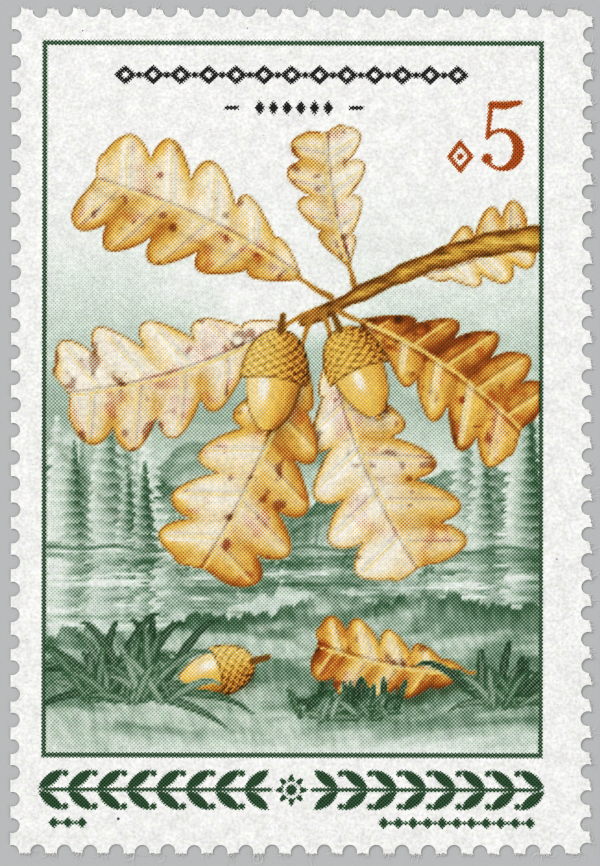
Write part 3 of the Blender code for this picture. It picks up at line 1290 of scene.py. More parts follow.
class Graph:
    """The node graph of one new material."""

    def __init__(self, name: str) -> None:
        """Makes the material, with its Principled shader and output.

        Args:
            name: The material's name.
        """
        self.material = bpy.data.materials.new(name)
        self.material.use_nodes = True
        self.tree = self.material.node_tree
        self.shader = self.tree.nodes["Principled BSDF"]

    def node(self, kind: str, settings: dict | None = None, inputs: dict | None = None) -> bpy.types.Node:
        """Adds a node.

        Args:
            kind: The node's type.
            settings: Its own properties, set first.
            inputs: Values or wires for its sockets, by name or number.

        Returns:
            The node.
        """
        made = self.tree.nodes.new(kind)
        for name, value in (settings or {}).items():
            setattr(made, name, value)
        for key, value in (inputs or {}).items():
            self.feed(made.inputs[key], value)
        return made

    def feed(self, socket: bpy.types.NodeSocket, value: object) -> None:
        """Links a wire to a socket, or sets the socket's own value.

        Args:
            socket: The socket.
            value: A wire, number, colour or vector.
        """
        if isinstance(value, Wire):
            self.tree.links.new(value.socket, socket)
        else:
            socket.default_value = value

    def surface(self, name: str, value: object) -> None:
        """Feeds one of the shader's own sockets."""
        self.feed(self.shader.inputs[name], value)

    def wire(self, made: bpy.types.Node, output: str | int = 0) -> Wire:
        """One of a node's outputs, wrapped."""
        return Wire(self, made.outputs[output])

    def maths(self, operation: str, *values: Wire | float, clamp: bool = False) -> Wire:
        """Adds a Math node on values and wires."""
        settings = {"operation": operation, "use_clamp": clamp}
        return self.wire(self.node("ShaderNodeMath", settings, dict(enumerate(values))))

    def larger(self, first: Wire | float, second: Wire | float) -> Wire:
        """The larger of two values."""
        return self.maths("MAXIMUM", first, second)

    def step(self, value: Wire, low: float, high: float) -> Wire:
        """A smooth step of a value, from 0 at low to 1 at high."""
        settings = {"interpolation_type": "SMOOTHSTEP"}
        return self.wire(self.node("ShaderNodeMapRange", settings, {0: value, 1: low, 2: high}))

    def rise(self, value: Wire, softness: float) -> Wire:
        """A straight ramp of a value, from 0 at -softness to 1 at softness."""
        return self.maths("ADD", value / (2.0 * softness), 0.5, clamp=True)

    def blend(
        self, factor: Wire | float, first: Wire | Colour, second: Wire | Colour, way: str = "MIX"
    ) -> Wire:
        """Adds a Mix node on two colours.

        Args:
            factor: How much of the second there is.
            first: The first colour.
            second: The second colour.
            way: How they are mixed.

        Returns:
            The mixed colour.
        """
        settings = {"data_type": "RGBA", "blend_type": way}
        made = self.node("ShaderNodeMix", settings, {0: factor, 6: first, 7: second})
        return self.wire(made, 2)

    def noise(self, place: Wire, pattern: Pattern) -> Wire:
        """Cloudy noise over a place, about 0 to 1."""
        inputs = {"Vector": place, "Scale": pattern.rate, "Detail": pattern.layers}
        return self.wire(self.node("ShaderNodeTexNoise", None, inputs), "Fac")

    def clouds(self, place: Wire, pattern: Pattern) -> Wire:
        """Cloudy noise over a place, stepped from 0 to 1 between the pattern's two values."""
        return self.step(self.noise(place, pattern), pattern.low, pattern.high)

    def place(self, origin: np.ndarray, stretch: tuple[float, float, float] = (1.0, 1.0, 1.0)) -> Wire:
        """The place on the piece.

        Args:
            origin: The part's origin, in millimetres.
            stretch: How many times larger each coordinate is made.

        Returns:
            The place in millimetres from the middle of the hole centres, stretched.
        """
        metres = self.wire(self.node("ShaderNodeTexCoord"), "Object")
        scale = tuple(share / MM for share in stretch)
        shift = (origin[0] * stretch[0], origin[1] * stretch[1], 0.0)
        settings = {"operation": "MULTIPLY_ADD"}
        return self.wire(self.node("ShaderNodeVectorMath", settings, {0: metres, 1: scale, 2: shift}))

    def axes(self, place: Wire) -> list[Wire]:
        """A place's three coordinates."""
        apart = self.node("ShaderNodeSeparateXYZ", None, {0: place})
        return [self.wire(apart, axis) for axis in range(3)]

    def stored(self, name: str) -> list[Wire]:
        """The four numbers stored with the piece's points under a name.

        Args:
            name: The name.

        Returns:
            The numbers.
        """
        made = self.node("ShaderNodeAttribute", {"attribute_name": name})
        split = self.node("ShaderNodeSeparateColor", None, {0: self.wire(made, "Color")})
        return [self.wire(split, channel) for channel in range(3)] + [self.wire(made, "Alpha")]

    def bump(self, height: Wire, distance: float) -> None:
        """Raises the shader's surface by a height of 0 to 1 times a distance in millimetres."""
        made = self.node("ShaderNodeBump", None, {"Height": height, "Distance": distance * MM})
        self.surface("Normal", self.wire(made))

    def dress(self, piece: bpy.types.Object) -> None:
        """Gives the material to a piece."""
        piece.data.materials.append(self.material)


@dataclass(frozen=True)
class PrintedPaper:
    """Coated white paper under four inks, each screened into dots on the same slanting lattice.
    A dot takes an ink's full colour, and the paper around the dots takes a pale veil of it,
    because light scatters under them."""

    bright: Colour = (0.985, 0.983, 0.974, 1.0)
    dull: Colour = (0.660, 0.658, 0.649, 1.0)
    tints: tuple[Colour, Colour] = ((0.982, 1.0, 0.958, 1.0), (1.0, 0.984, 1.0, 1.0))
    mottle: Pattern = Pattern(5.5, 3.0, 0.14, 0.78)
    patches: Pattern = Pattern(1.1, 3.0, 0.25, 0.75)
    fine_share: float = 0.72
    tinting: Pattern = Pattern(4.1, 2.0, 0.38, 0.62)
    dust: Pattern = Pattern(9.0, 0.0, 0.77, 0.84)
    dust_share: float = 0.35
    fibre: Pattern = Pattern(14.0, 3.0)
    fibre_stretch: tuple[float, float, float] = (1.0, 2.2, 1.0)
    inks: tuple[Colour, ...] = (
        (0.95, 0.70, 0.13, 1.0),
        (0.62, 0.15, 0.075, 1.0),
        (0.045, 0.12, 0.055, 1.0),
        (0.012, 0.012, 0.012, 1.0),
    )
    veils: tuple[Colour, ...] = (
        (0.99, 0.94, 0.74, 1.0),
        (0.94, 0.73, 0.60, 1.0),
        (0.45, 0.72, 0.52, 1.0),
        (0.60, 0.60, 0.60, 1.0),
    )
    phases: tuple[float, ...] = (2.1, 2.1, 4.2, 4.2)
    second_phase: float = 0.7
    screen_pitch: float = 0.149
    picture_softness: tuple[float, ...] = (0.20, 0.20, 0.48, 0.20)
    line_softness: float = 0.15
    veil_spread: float = 1.35
    art_veil: float = 0.7
    art_rims: tuple[float, float] = (0.09, 0.04)
    art_shares: tuple[tuple[Ink, LineArt, float], ...] = (
        (Ink.YELLOW, LineArt.VALUE, 0.97),
        (Ink.RED, LineArt.VALUE, 0.93),
        (Ink.GREEN, LineArt.GREEN, 0.95),
        (Ink.GREEN, LineArt.FRAME, 0.84),
        (Ink.BLACK, LineArt.GREEN, 0.34),
        (Ink.BLACK, LineArt.FRAME, 0.30),
        (Ink.BLACK, LineArt.VALUE, 0.32),
        (Ink.BLACK, LineArt.BLACK, 0.94),
    )
    flecks: tuple[tuple[float, float, float], ...] = (
        (-10.39, -22.15, 0.085),
        (-12.50, 22.80, 0.045),
        (-3.10, 22.95, 0.040),
        (14.60, -7.30, 0.045),
    )
    fleck_rim: float = 0.03
    fleck_colour: Colour = (0.06, 0.06, 0.055, 1.0)
    upper_face: tuple[float, float] = (0.07, 0.09)
    roughness: float = 0.55
    torn_roughness: float = 0.35
    fibre_roughness: float = 0.08
    gloss: float = 0.08
    relief: float = 0.004
    relief_shares: tuple[float, float, float] = (0.6, 2.0, 0.4)

    def paper(self, graph: Graph, place: Wire, mottle: Wire) -> Wire:
        """The bare paper's colour: mottled, faintly tinted here and there, with a few flecks.

        Args:
            graph: The material's graph.
            place: The place on the sheet.
            mottle: The fine noise that the surface's bumps share.

        Returns:
            The colour.
        """
        fine = graph.step(mottle, self.mottle.low, self.mottle.high)
        level = fine * self.fine_share + graph.clouds(place, self.patches) * (1.0 - self.fine_share)
        colour = graph.blend(level, self.dull, self.bright)
        tint = graph.clouds(place, self.tinting)
        colour = graph.blend(1.0, colour, graph.blend(tint, *self.tints), "MULTIPLY")
        colour = graph.blend(graph.clouds(place, self.dust) * self.dust_share, colour, self.fleck_colour)
        for x, y, radius in self.flecks:
            inputs = {0: place, 1: (x, y, Layers().paper_top)}
            away = graph.wire(graph.node("ShaderNodeVectorMath", {"operation": "DISTANCE"}, inputs), "Value")
            spot = graph.step(radius - away, -self.fleck_rim, self.fleck_rim)
            colour = graph.blend(spot, colour, self.fleck_colour)
        return colour

    def frame_depth(self, graph: Graph, place: Wire) -> Wire:
        """How far inside the printed frame line a place is: half the line's thickness less the
        distance to a rectangle's sides. Off the upper face it is below 0.

        Args:
            graph: The material's graph.
            place: The place on the sheet.

        Returns:
            The depth in millimetres.
        """
        across, up, height = graph.axes(place)
        picture = Picture()
        beyond = [
            abs(wire - middle) - size / 2
            for wire, middle, size in zip((across, up), picture.middle, picture.size)
        ]
        above = graph.step(height, *self.upper_face)
        return picture.frame_line / 2 - abs(graph.larger(*beyond)) + (above - 1.0)

    def art_tones(self, graph: Graph, depths: list[Wire], rim: float) -> list[Wire]:
        """Each ink's tone in the line art: the largest of its shares.

        Args:
            graph: The material's graph.
            depths: How far inside each kind of line art a place is.
            rim: How far a line's tone reaches past its outline and back from it.

        Returns:
            The tones, ink by ink.
        """
        tones = [0.0] * len(Ink)
        for ink, kind, share in self.art_shares:
            tones[ink] = graph.larger(graph.rise(depths[kind], rim) * share, tones[ink])
        return tones

    def screen(self, graph: Graph, place: Wire, phase: float) -> Wire:
        """The screen's threshold: a half plus a quarter of the sum of two cosines, along the
        lattice's two slanting directions.

        Args:
            graph: The material's graph.
            place: The place on the sheet.
            phase: How far the lattice is shifted, in radians.

        Returns:
            The tone over which a dot is printed.
        """
        across, up, _ = graph.axes(place)
        rate = 2.0 * math.pi / (self.screen_pitch * math.sqrt(2.0))
        first = graph.maths("COSINE", (across + up) * rate + phase)
        second = graph.maths("COSINE", (across - up) * rate + phase * self.second_phase)
        return (first + second) * 0.25 + 0.5

    def dots(self, graph: Graph, tone: Wire, threshold: Wire, soft: float) -> Wire:
        """Where an ink's dots are: where its tone is over the threshold, with soft rims."""
        return graph.rise(tone * (1.0 + 2.0 * soft) - soft - threshold, soft)

    def dress(self, piece: bpy.types.Object, origin: np.ndarray) -> None:
        """Gives a piece this finish. It reads the tones and line art stored with its points.

        Args:
            piece: The piece.
            origin: The part's origin, in millimetres.
        """
        graph = Graph("printed_paper")
        place = graph.place(origin)
        mottle = graph.noise(place, self.mottle)
        colour = self.paper(graph, place, mottle)
        tones = graph.stored("tones")
        depths = graph.stored("line_art") + [self.frame_depth(graph, place)]
        wide, narrow = [self.art_tones(graph, depths, rim) for rim in self.art_rims]
        for ink in Ink:
            threshold = self.screen(graph, place, self.phases[ink])
            picture_dots = self.dots(graph, tones[ink], threshold, self.picture_softness[ink])
            dots = graph.larger(picture_dots, self.dots(graph, wide[ink], threshold, self.line_softness))
            picture_veil = graph.maths("MULTIPLY", tones[ink], self.veil_spread, clamp=True)
            veil = graph.larger(picture_veil, narrow[ink] * self.art_veil)
            colour = graph.blend(veil, colour, self.veils[ink], "MULTIPLY")
            colour = graph.blend(dots, colour, self.inks[ink], "MULTIPLY")

        torn = depths[LineArt.TORN]
        fibre = graph.noise(graph.place(origin, self.fibre_stretch), self.fibre)
        graph.surface("Base Color", colour)
        graph.surface("Roughness", torn * self.torn_roughness + fibre * self.fibre_roughness + self.roughness)
        graph.surface("Specular IOR Level", self.gloss)
        mottled, ragged, fibrous = self.relief_shares
        graph.bump(mottle * mottled + fibre * (torn * ragged + fibrous), self.relief)
        graph.dress(piece)


@dataclass(frozen=True)
class DryGum:
    """A dry, faintly yellow adhesive film, with the level ripples that its coating rollers leave
    and pinholes where bubbles burst."""

    thick: Colour = (0.71, 0.665, 0.52, 1.0)
    thin: Colour = (0.83, 0.81, 0.73, 1.0)
    pinhole: Colour = (0.88, 0.87, 0.84, 1.0)
    ripple: Pattern = Pattern(1.0, 4.0)
    ripple_stretch: tuple[float, float, float] = (0.22, 2.6, 1.0)
    cloud: Pattern = Pattern(0.30, 4.0)
    grain: Pattern = Pattern(6.0, 3.0)
    thickness_shares: tuple[float, float, float] = (0.35, 0.45, 0.20)
    thickening: tuple[float, float] = (0.36, 0.62)
    hole_rate: float = 1.1
    hole_radii: tuple[float, float] = (0.05, 0.09)
    hole_places: Pattern = Pattern(0.8, 1.0, 0.52, 0.60)
    roughness: float = 0.20
    relief: float = 0.012

    def dress(self, piece: bpy.types.Object, origin: np.ndarray) -> None:
        """Gives a piece this finish.

        Args:
            piece: The piece.
            origin: The part's origin, in millimetres.
        """
        graph = Graph("dry_gum")
        place = graph.place(origin)
        ripple = graph.noise(graph.place(origin, self.ripple_stretch), self.ripple)
        grain = graph.noise(place, self.grain)
        clouded, rippled, grained = self.thickness_shares
        thickness = graph.noise(place, self.cloud) * clouded + ripple * rippled + grain * grained
        colour = graph.blend(graph.step(thickness, *self.thickening), self.thin, self.thick)
        spots = graph.node("ShaderNodeTexVoronoi", None, {"Vector": place, "Scale": self.hole_rate})
        hole = 1.0 - graph.step(graph.wire(spots, "Distance"), *self.hole_radii)
        hole = hole * graph.clouds(place, self.hole_places)
        graph.surface("Base Color", graph.blend(hole, colour, self.pinhole))
        graph.surface("Roughness", grain * 0.25 + hole * 0.3 + self.roughness)
        graph.bump(ripple * 0.8 + grain * 0.25 - hole * 0.5, self.relief)
        graph.dress(piece)


@dataclass(frozen=True)
class LooseFibre:
    """Bare white paper fibre, duller in places."""

    light: Colour = (0.90, 0.90, 0.88, 1.0)
    dull: Colour = (0.72, 0.73, 0.71, 1.0)
    patches: Pattern = Pattern(3.0, 2.0, 0.3, 0.7)
    roughness: float = 0.75

    def dress(self, piece: bpy.types.Object, origin: np.ndarray) -> None:
        """Gives a piece this finish.

        Args:
            piece: The piece.
            origin: The part's origin, in millimetres.
        """
        graph = Graph("loose_fibre")
        patch = graph.noise(graph.place(origin), self.patches)
        level = graph.step(patch, self.patches.low, self.patches.high)
        graph.surface("Base Color", graph.blend(level, self.dull, self.light))
        graph.surface("Roughness", patch * 0.2 + self.roughness)
        graph.dress(piece)


@dataclass(frozen=True)
class PlainFloor:
    """A matt grey surface, a little uneven in tone."""

    colour: Colour = (0.46, 0.465, 0.47, 1.0)
    darker: Colour = (0.445, 0.45, 0.455, 1.0)
    patches: Pattern = Pattern(0.02, 2.0)
    roughness: float = 0.9

    def dress(self, piece: bpy.types.Object, origin: np.ndarray) -> None:
        """Gives a piece this finish.

        Args:
            piece: The piece.
            origin: The part's origin, in millimetres.
        """
        graph = Graph("plain_floor")
        patch = graph.noise(graph.place(origin), self.patches)
        graph.surface("Base Color", graph.blend(patch, self.darker, self.colour))
        graph.surface("Roughness", self.roughness)
        graph.dress(piece)


@dataclass(frozen=True)
class Layers:
    """The heights of the stamp's layers, in millimetres, as the part has them."""

    gum_top: float = 0.012
    paper_foot: float = 0.014
    paper_top: float = 0.114
    cockle: float = 0.016
    inner_half: tuple[float, float] = (15.6, 23.4)

    def lift(self, points: np.ndarray) -> np.ndarray:
        """How far the sheet cockles up, in millimetres: one plus two slow sines' product."""
        x, y = points[..., 0], points[..., 1]
        return self.cockle * (1.0 + np.sin(0.27 * x + 0.6) * np.cos(0.21 * y - 0.4))

    def lattice(self, step: float) -> np.ndarray:
        """Points inside the sheet, one step apart, so that its faces follow the cockle."""
        x, y = np.meshgrid(*[np.arange(-half, half + 0.1, step) for half in self.inner_half])
        return np.column_stack([x.ravel(), y.ravel()])


@dataclass
class PaperSheet:
    """The printed sheet: a fine grid under the print, a strip of triangles out to the perforated
    edge, ragged side walls and a plain back. Its sizes are in millimetres."""

    perforation: Perforation = Perforation()
    layers: Layers = Layers()
    unwrap: Unwrap = Unwrap()
    finish: PrintedPaper = PrintedPaper()
    cell: float = 0.128
    margin_cell: float = 0.3
    back_cell: float = 1.3
    arc_steps: int = 13
    tear_steps: int = 10
    grid_half: tuple[float, float] = (15.80, 23.40)
    print_low: tuple[float, float] = (-15.0, -22.9)
    print_high: tuple[float, float] = (14.1, 22.4)
    core_shares: tuple[float, float] = (0.3, 0.7)
    face_set: tuple[float, float] = (0.006, 0.045)
    back_set: tuple[float, float] = (0.004, 0.020)

    def grid_lines(self, axis: int) -> np.ndarray:
        """The grid's lines along one axis: evenly fine over the print, coarser outside it.

        Args:
            axis: 0 across or 1 up.

        Returns:
            The lines' positions.
        """
        low, high, end = self.print_low[axis], self.print_high[axis], self.grid_half[axis]
        fine = np.linspace(low, high, round((high - low) / self.cell) + 1)
        before = np.linspace(-end, low, math.ceil((low + end) / self.margin_cell) + 1)[:-1]
        after = np.linspace(high, end, math.ceil((end - high) / self.margin_cell) + 1)[1:]
        return np.concatenate([before, fine, after])

    def edge_loops(self) -> tuple[np.ndarray, np.ndarray]:
        """The three loops of the edge: the face's, the core's and the back's. Where it is torn,
        the face's and the back's loops are set in by seeded amounts, and the core stands out.

        Returns:
            The loops' points, loop by point by three, and how torn each point of a loop is.
        """
        edge, torn = self.perforation.edge(self.arc_steps, self.tear_steps)
        along = np.roll(edge, -1, axis=0) - np.roll(edge, 1, axis=0)
        inward = np.stack([-along[:, 1], along[:, 0]], axis=-1)
        inward /= np.linalg.norm(inward, axis=1, keepdims=True)
        draws = np.random.default_rng(Seed.SHEET_EDGE)
        core_share = draws.uniform(*self.core_shares, len(edge))
        sets = (self.face_set, self.back_set)
        face_set, back_set = [least + torn * draws.uniform(0.0, most, len(edge)) for least, most in sets]
        foot, top = self.layers.paper_foot, self.layers.paper_top
        face = np.column_stack([edge + inward * face_set[:, None], np.full(len(edge), top)])
        core = np.column_stack([edge, foot + (top - foot) * core_share])
        back = np.column_stack([edge + inward * back_set[:, None], np.full(len(edge), foot)])
        return np.stack([face, core, back]), torn

    def print_on(self, piece: bpy.types.Object, x: np.ndarray, y: np.ndarray, torn: np.ndarray) -> None:
        """Stores the inks' tones and the line art with the points of the sheet's grid, and how
        torn its edge is with those of its edge.

        Args:
            piece: The sheet, whose points start with the grid's and then the edge's three loops.
            x: The grid's positions across.
            y: Its positions up.
            torn: How torn each point of a loop of the edge is.
        """
        ornament, value = Ornament(), Numeral().depth(x, y)
        lines = [ornament.green(x, y), ornament.black(x, y), value, np.zeros(x.shape)]
        count = len(piece.data.vertices)
        tones = np.zeros((count, len(Ink)))
        tones[:x.size] = Picture().tones(x, y).reshape(-1, len(Ink))
        all_lines = np.full((count, CHANNELS), -1.0)
        all_lines[:x.size] = np.stack(lines, axis=-1).reshape(-1, CHANNELS)
        all_lines[:, LineArt.TORN] = 0.0
        all_lines[x.size:x.size + 3 * len(torn), LineArt.TORN] = np.tile(torn, 3)
        paint_points(piece, "tones", tones)
        paint_points(piece, "line_art", all_lines)

    def build(self) -> bpy.types.Object:
        """Makes the sheet.

        Returns:
            The finished piece.
        """
        x, y = np.meshgrid(self.grid_lines(0), self.grid_lines(1))
        grid = np.column_stack([x.ravel(), y.ravel()])
        loops, torn = self.edge_loops()
        back = self.layers.lattice(self.back_cell)
        points = np.concatenate([
            np.column_stack([grid, np.full(len(grid), self.layers.paper_top)]),
            loops.reshape(-1, 3),
            np.column_stack([back, np.full(len(back), self.layers.paper_foot)]),
        ])
        points[:, 2] += self.layers.lift(points)

        shape = Shape(points)
        number = np.arange(x.size).reshape(x.shape)
        quads = np.stack([number[:-1, :-1], number[:-1, 1:], number[1:, 1:], number[1:, :-1]], axis=-1)
        quads = quads.reshape(-1, 4)
        shape.add(quads, self.unwrap.main_face(points[quads]))
        rim = np.concatenate([number[0, :-1], number[:-1, -1], number[-1, :0:-1], number[:0:-1, 0]])
        face_ring, core_ring, back_ring = x.size + np.arange(3 * len(torn)).reshape(3, -1)
        strip = filled(loops[0, :, :2], grid[rim], hole=True)
        strip = np.concatenate([face_ring, rim])[strip]
        shape.add(strip, self.unwrap.main_face(points[strip]))
        shape.add(walls(core_ring, face_ring), self.unwrap.wall(len(torn), 1))
        shape.add(walls(back_ring, core_ring), self.unwrap.wall(len(torn), 0))
        under = filled(loops[2, :, :2], back, hole=False)[:, ::-1]
        under = np.concatenate([back_ring, back_ring[-1] + 1 + np.arange(len(back))])[under]
        shape.add(under, self.unwrap.other_face(points[under]))

        origin = self.perforation.middle()
        piece = shape.piece("paper_sheet", origin)
        self.print_on(piece, x, y, torn)
        self.finish.dress(piece, origin)
        return piece


@dataclass
class GumFilm:
    """The dry gum: a film with the sheet's outline, set back a little, under the whole back. Its
    sizes are in millimetres."""

    perforation: Perforation = Perforation()
    layers: Layers = Layers()
    unwrap: Unwrap = Unwrap()
    finish: DryGum = DryGum()
    set_back: float = 0.02
    cell: float = 1.3
    arc_steps: int = 13
    tear_steps: int = 4

    def build(self) -> bpy.types.Object:
        """Makes the film: its outline and a lattice of points inside it, once at its foot and
        once at its top, joined by a wall.

        Returns:
            The finished piece.
        """
        edge, _ = self.perforation.edge(self.arc_steps, self.tear_steps, self.set_back)
        flat = np.concatenate([edge, self.layers.lattice(self.cell)])
        foot = np.column_stack([flat, np.zeros(len(flat))])
        top = np.column_stack([flat, np.full(len(flat), self.layers.gum_top)])
        points = np.concatenate([foot, top])
        points[:, 2] += self.layers.lift(points)
        ring = np.arange(len(edge))
        upper = filled(edge, flat[len(edge):], hole=False)
        lower = upper[:, ::-1]
        upper = upper + len(flat)
        shape = Shape(points)
        shape.add(lower, self.unwrap.main_face(points[lower], mirrored=True))
        shape.add(upper, self.unwrap.other_face(points[upper]))
        shape.add(walls(ring, ring + len(flat)), self.unwrap.wall(len(edge), 0))
        origin = self.perforation.middle()
        piece = shape.piece("gum_film", origin)
        self.finish.dress(piece, origin)
        return piece


@dataclass
class TornFibres:
    """Loose fibres at the torn teeth: short fuzz along every tear, and longer curls that stand
    out or cross a hole. Lengths are in millimetres."""

    perforation: Perforation = Perforation()
    layers: Layers = Layers()
    finish: LooseFibre = LooseFibre()
    fuzz: int = 2500
    curls: int = 260
    fuzz_length: float = 0.13
    curl_length: float = 0.46
    shortest: float = 0.05
    longest: float = 0.9
    radii: tuple[float, float] = (0.008, 0.016)
    tip_share: float = 0.35
    root_depth: float = 0.05
    leans: tuple[float, float] = (0.75, 0.95)
    length_spread: float = 0.45
    bend_rate: float = 4.5
    most_bend: float = 2.8
    rise_rate: float = 0.15
    least_torn: float = 0.5
    curls_per_tuft: int = 5
    tuft_reach: int = 2
    insets: tuple[float, float] = (0.015, 0.01)
    lowest: float = 0.02
    edge_steps: int = 12
    steps: int = 9
    sides: int = 3

    def paths(self) -> np.ndarray:
        """The fibres' paths: each starts inside a tear and turns steadily as it goes, so its
        place is the running sum of short steps along a direction that grows evenly. Curls start
        in tufts, because they come from a few rough places.

        Returns:
            The paths' points, fibre by step by three.
        """
        draws = np.random.default_rng(Seed.FIBRE_PATHS)
        edge, torn = self.perforation.edge(self.edge_steps, self.edge_steps)
        along = np.roll(edge, -1, axis=0) - np.roll(edge, 1, axis=0)
        outward = np.arctan2(-along[:, 0], along[:, 1])
        roots = np.flatnonzero(torn > self.least_torn)
        tufts = draws.choice(roots, self.curls // self.curls_per_tuft)
        tuft = draws.choice(tufts, self.curls)
        curl_roots = tuft + draws.integers(-self.tuft_reach, self.tuft_reach + 1, self.curls)
        root = np.concatenate([draws.choice(roots, self.fuzz), curl_roots % len(edge)])
        count = len(root)
        is_fuzz = np.arange(count) < self.fuzz
        turn = outward[root] + draws.normal(0.0, 1.0, count) * np.where(is_fuzz, *self.leans)
        usual = np.where(is_fuzz, self.fuzz_length, self.curl_length)
        length = np.clip(usual * draws.lognormal(0.0, self.length_spread, count), self.shortest, self.longest)
        bend = draws.normal(0.0, self.bend_rate, count) * length
        bend = np.clip(bend, -self.most_bend, self.most_bend)
        share = np.linspace(0.0, 1.0, self.steps)
        angle = turn[:, None] + bend[:, None] * share
        step = length[:, None] / (self.steps - 1)
        across = np.cumsum(np.cos(angle) * step, axis=1) - self.root_depth * np.cos(turn)[:, None]
        up = np.cumsum(np.sin(angle) * step, axis=1) - self.root_depth * np.sin(turn)[:, None]
        foot, top = self.layers.paper_foot + self.insets[0], self.layers.paper_top - self.insets[1]
        low = draws.uniform(foot, top, count)
        rise = draws.normal(0.0, self.rise_rate, count) * length
        height = np.maximum(low[:, None] + rise[:, None] * share, self.lowest)
        start = edge[root]
        return np.stack([start[:, :1] + across, start[:, 1:] + up, height], axis=-1)

    def places(self, count: int) -> tuple[np.ndarray, np.ndarray]:
        """Where each fibre's faces go on the baked picture: in its own cell of a square board,
        its length across the cell and its girth up it.

        Args:
            count: How many fibres there are.

        Returns:
            The places of the sides' corners and of the two ends' corners.
        """
        board = math.ceil(math.sqrt(count))
        number = np.arange(count)
        cell = np.stack([number % board, number // board], axis=-1)
        step, side = np.meshgrid(np.arange(self.steps - 1), np.arange(self.sides), indexing="ij")
        corners = np.stack([
            (step[..., None] + np.array([0, 1, 1, 0])) / (self.steps - 1),
            (side[..., None] + np.array([0, 0, 1, 1])) / self.sides,
        ], axis=-1)
        sides = (cell[:, None, None, None] + 0.1 + 0.8 * corners) / board
        cap = np.array([[0.02, 0.02], [0.08, 0.02], [0.02, 0.08]])[:self.sides]
        ends = (cell[:, None] + cap) / board
        return sides, np.concatenate([ends, ends])

    def build(self) -> bpy.types.Object:
        """Makes the fibres: a small tapering ring of points carried along every path.

        Returns:
            The finished piece.
        """
        paths = self.paths()
        paths[..., 2] += self.layers.lift(paths)
        along = np.gradient(paths, axis=1)
        along /= np.linalg.norm(along, axis=2, keepdims=True)
        sideways = np.cross(along, np.array([0.0, 0.0, 1.0]))
        sideways /= np.linalg.norm(sideways, axis=2, keepdims=True)
        upward = np.cross(sideways, along)
        turn = (np.arange(self.sides) * 2.0 * math.pi / self.sides)[:, None]
        ring = sideways[:, :, None] * np.cos(turn) + upward[:, :, None] * np.sin(turn)
        draws = np.random.default_rng(Seed.FIBRE_RADII)
        taper = np.linspace(1.0, self.tip_share, self.steps)
        radius = draws.uniform(*self.radii, len(paths))[:, None] * taper
        points = paths[:, :, None] + ring * radius[:, :, None, None]

        number = np.arange(points[..., 0].size).reshape(points.shape[:3])
        near, far = number[:, :-1], number[:, 1:]
        quads = np.stack([near, far, np.roll(far, -1, axis=2), np.roll(near, -1, axis=2)], axis=-1)
        ends = np.concatenate([number[:, 0], number[:, -1, ::-1]])
        side_places, end_places = self.places(len(paths))
        shape = Shape(points.reshape(-1, 3))
        shape.add(quads.reshape(-1, 4), side_places)
        shape.add(ends, end_places)
        origin = self.perforation.middle()
        piece = shape.piece("torn_fibres", origin, smooth=True)
        self.finish.dress(piece, origin)
        return piece


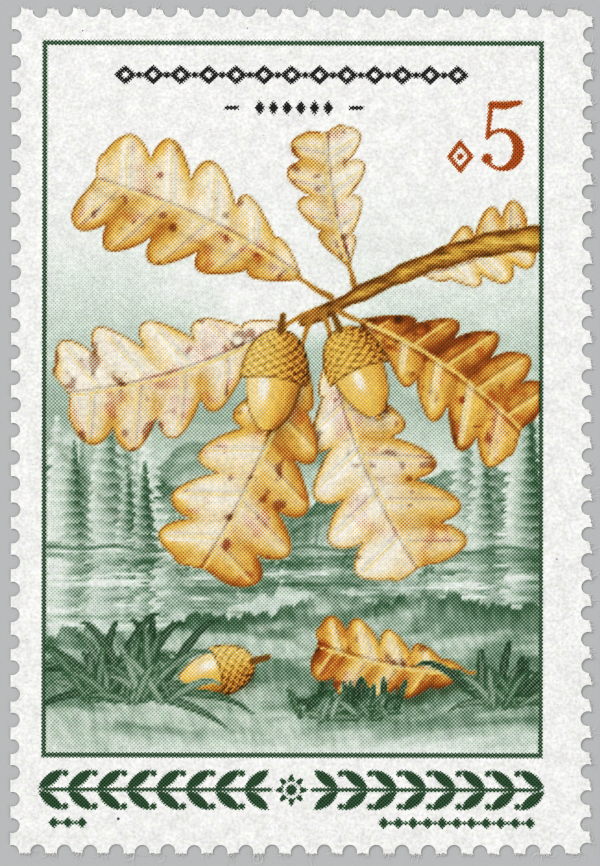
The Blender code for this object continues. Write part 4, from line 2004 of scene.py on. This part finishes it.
@dataclass(frozen=True)
class Studio:
    """The pale floor, the soft lights and the camera that looks straight down, as a flat scan
    does. Sizes are in millimetres, but the camera's clipping and the lights' are in metres. The
    lights' power is in watts."""

    view_middle: tuple[float, float] = (-0.063, -0.128)
    view_height: float = 49.40
    roll: float = 0.1
    lens: float = 200.0
    sensor: float = 36.0
    clip: tuple[float, float] = (0.01, 10.0)
    pixel_filter: float = 1.25
    floor_half: float = 600.0
    floor_depth: float = 0.004
    floor_finish: PlainFloor = PlainFloor()
    sky: float = 0.55
    lights: tuple[tuple[str, tuple[float, float, float], float, float], ...] = (
        ("key", (-0.45, 0.50, 0.70), 0.5, 5.0),
        ("fill", (0.60, -0.35, 0.60), 0.6, 2.2),
    )

    def lay_floor(self) -> None:
        """Lays the floor just under the stamp."""
        half = self.floor_half
        corners = np.array([[-half, -half], [half, -half], [half, half], [-half, half]])
        shape = Shape(np.column_stack([corners, np.full(4, -self.floor_depth)]))
        shape.add(np.array([[0, 1, 2, 3]]), corners / (2.0 * half) + 0.5)
        floor = shape.piece("floor", np.zeros(2))
        self.floor_finish.dress(floor, np.zeros(2))

    def hang_light(self, name: str, place: tuple[float, float, float], size: float, power: float) -> None:
        """Hangs a square light that faces the stamp.

        Args:
            name: The light's name.
            place: Where it hangs, in metres.
            size: Its side.
            power: Its power in watts.
        """
        data = bpy.data.lights.new(name, "AREA")
        data.size, data.energy = size, power
        light = bpy.data.objects.new(name, data)
        light.location = place
        tilt = math.acos(place[2] / math.hypot(*place))
        light.rotation_euler = (tilt, 0.0, math.atan2(place[0], -place[1]))
        bpy.context.scene.collection.objects.link(light)

    def hang_camera(self, origin: np.ndarray, top: float) -> None:
        """Hangs the camera over the middle of the view, as high as its lens needs.

        Args:
            origin: The part's origin, in millimetres.
            top: The height of the printed face.
        """
        data = bpy.data.cameras.new("camera")
        data.lens, data.sensor_width = self.lens, self.sensor
        data.clip_start, data.clip_end = self.clip
        camera = bpy.data.objects.new("camera", data)
        across, up = np.array(self.view_middle) - origin
        away = self.view_height * self.lens / self.sensor + top
        camera.location = (across * MM, up * MM, away * MM)
        camera.rotation_euler = (0.0, 0.0, math.radians(self.roll))
        bpy.context.scene.collection.objects.link(camera)
        bpy.context.scene.camera = camera

    def build(self, origin: np.ndarray, top: float) -> None:
        """Sets up the floor, the lights, the pale surroundings and the camera.

        Args:
            origin: The part's origin, in millimetres.
            top: The height of the printed face.
        """
        self.lay_floor()
        for light in self.lights:
            self.hang_light(*light)
        world = bpy.data.worlds.new("soft_room")
        world.use_nodes = True
        backdrop = world.node_tree.nodes["Background"]
        backdrop.inputs["Color"].default_value = (1.0, 1.0, 1.0, 1.0)
        backdrop.inputs["Strength"].default_value = self.sky
        bpy.context.scene.world = world
        bpy.context.scene.view_settings.view_transform = "Standard"
        bpy.context.scene.cycles.filter_width = self.pixel_filter
        self.hang_camera(origin, top)


def main() -> None:
    """Builds the stamp's pieces in order, hangs them on the root body, hides the parts of model.glb that they
    replace, and sets up the studio.
    """
    logging.basicConfig(level=logging.INFO)
    makers = (
        (PaperSheet(), "paper", "paper"),
        (GumFilm(), "gum", "gum"),
        (TornFibres(), None, "paper"),
    )
    for maker, node, slot in makers:
        piece = maker.build()
        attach(piece, "root")
        if node:
            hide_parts(node)
        log.info("%s: %d points, %d faces", piece.name, len(piece.data.vertices), len(piece.data.polygons))
    Studio().build(Perforation().middle(), Layers().paper_top)


if __name__ == "__main__":
    main()
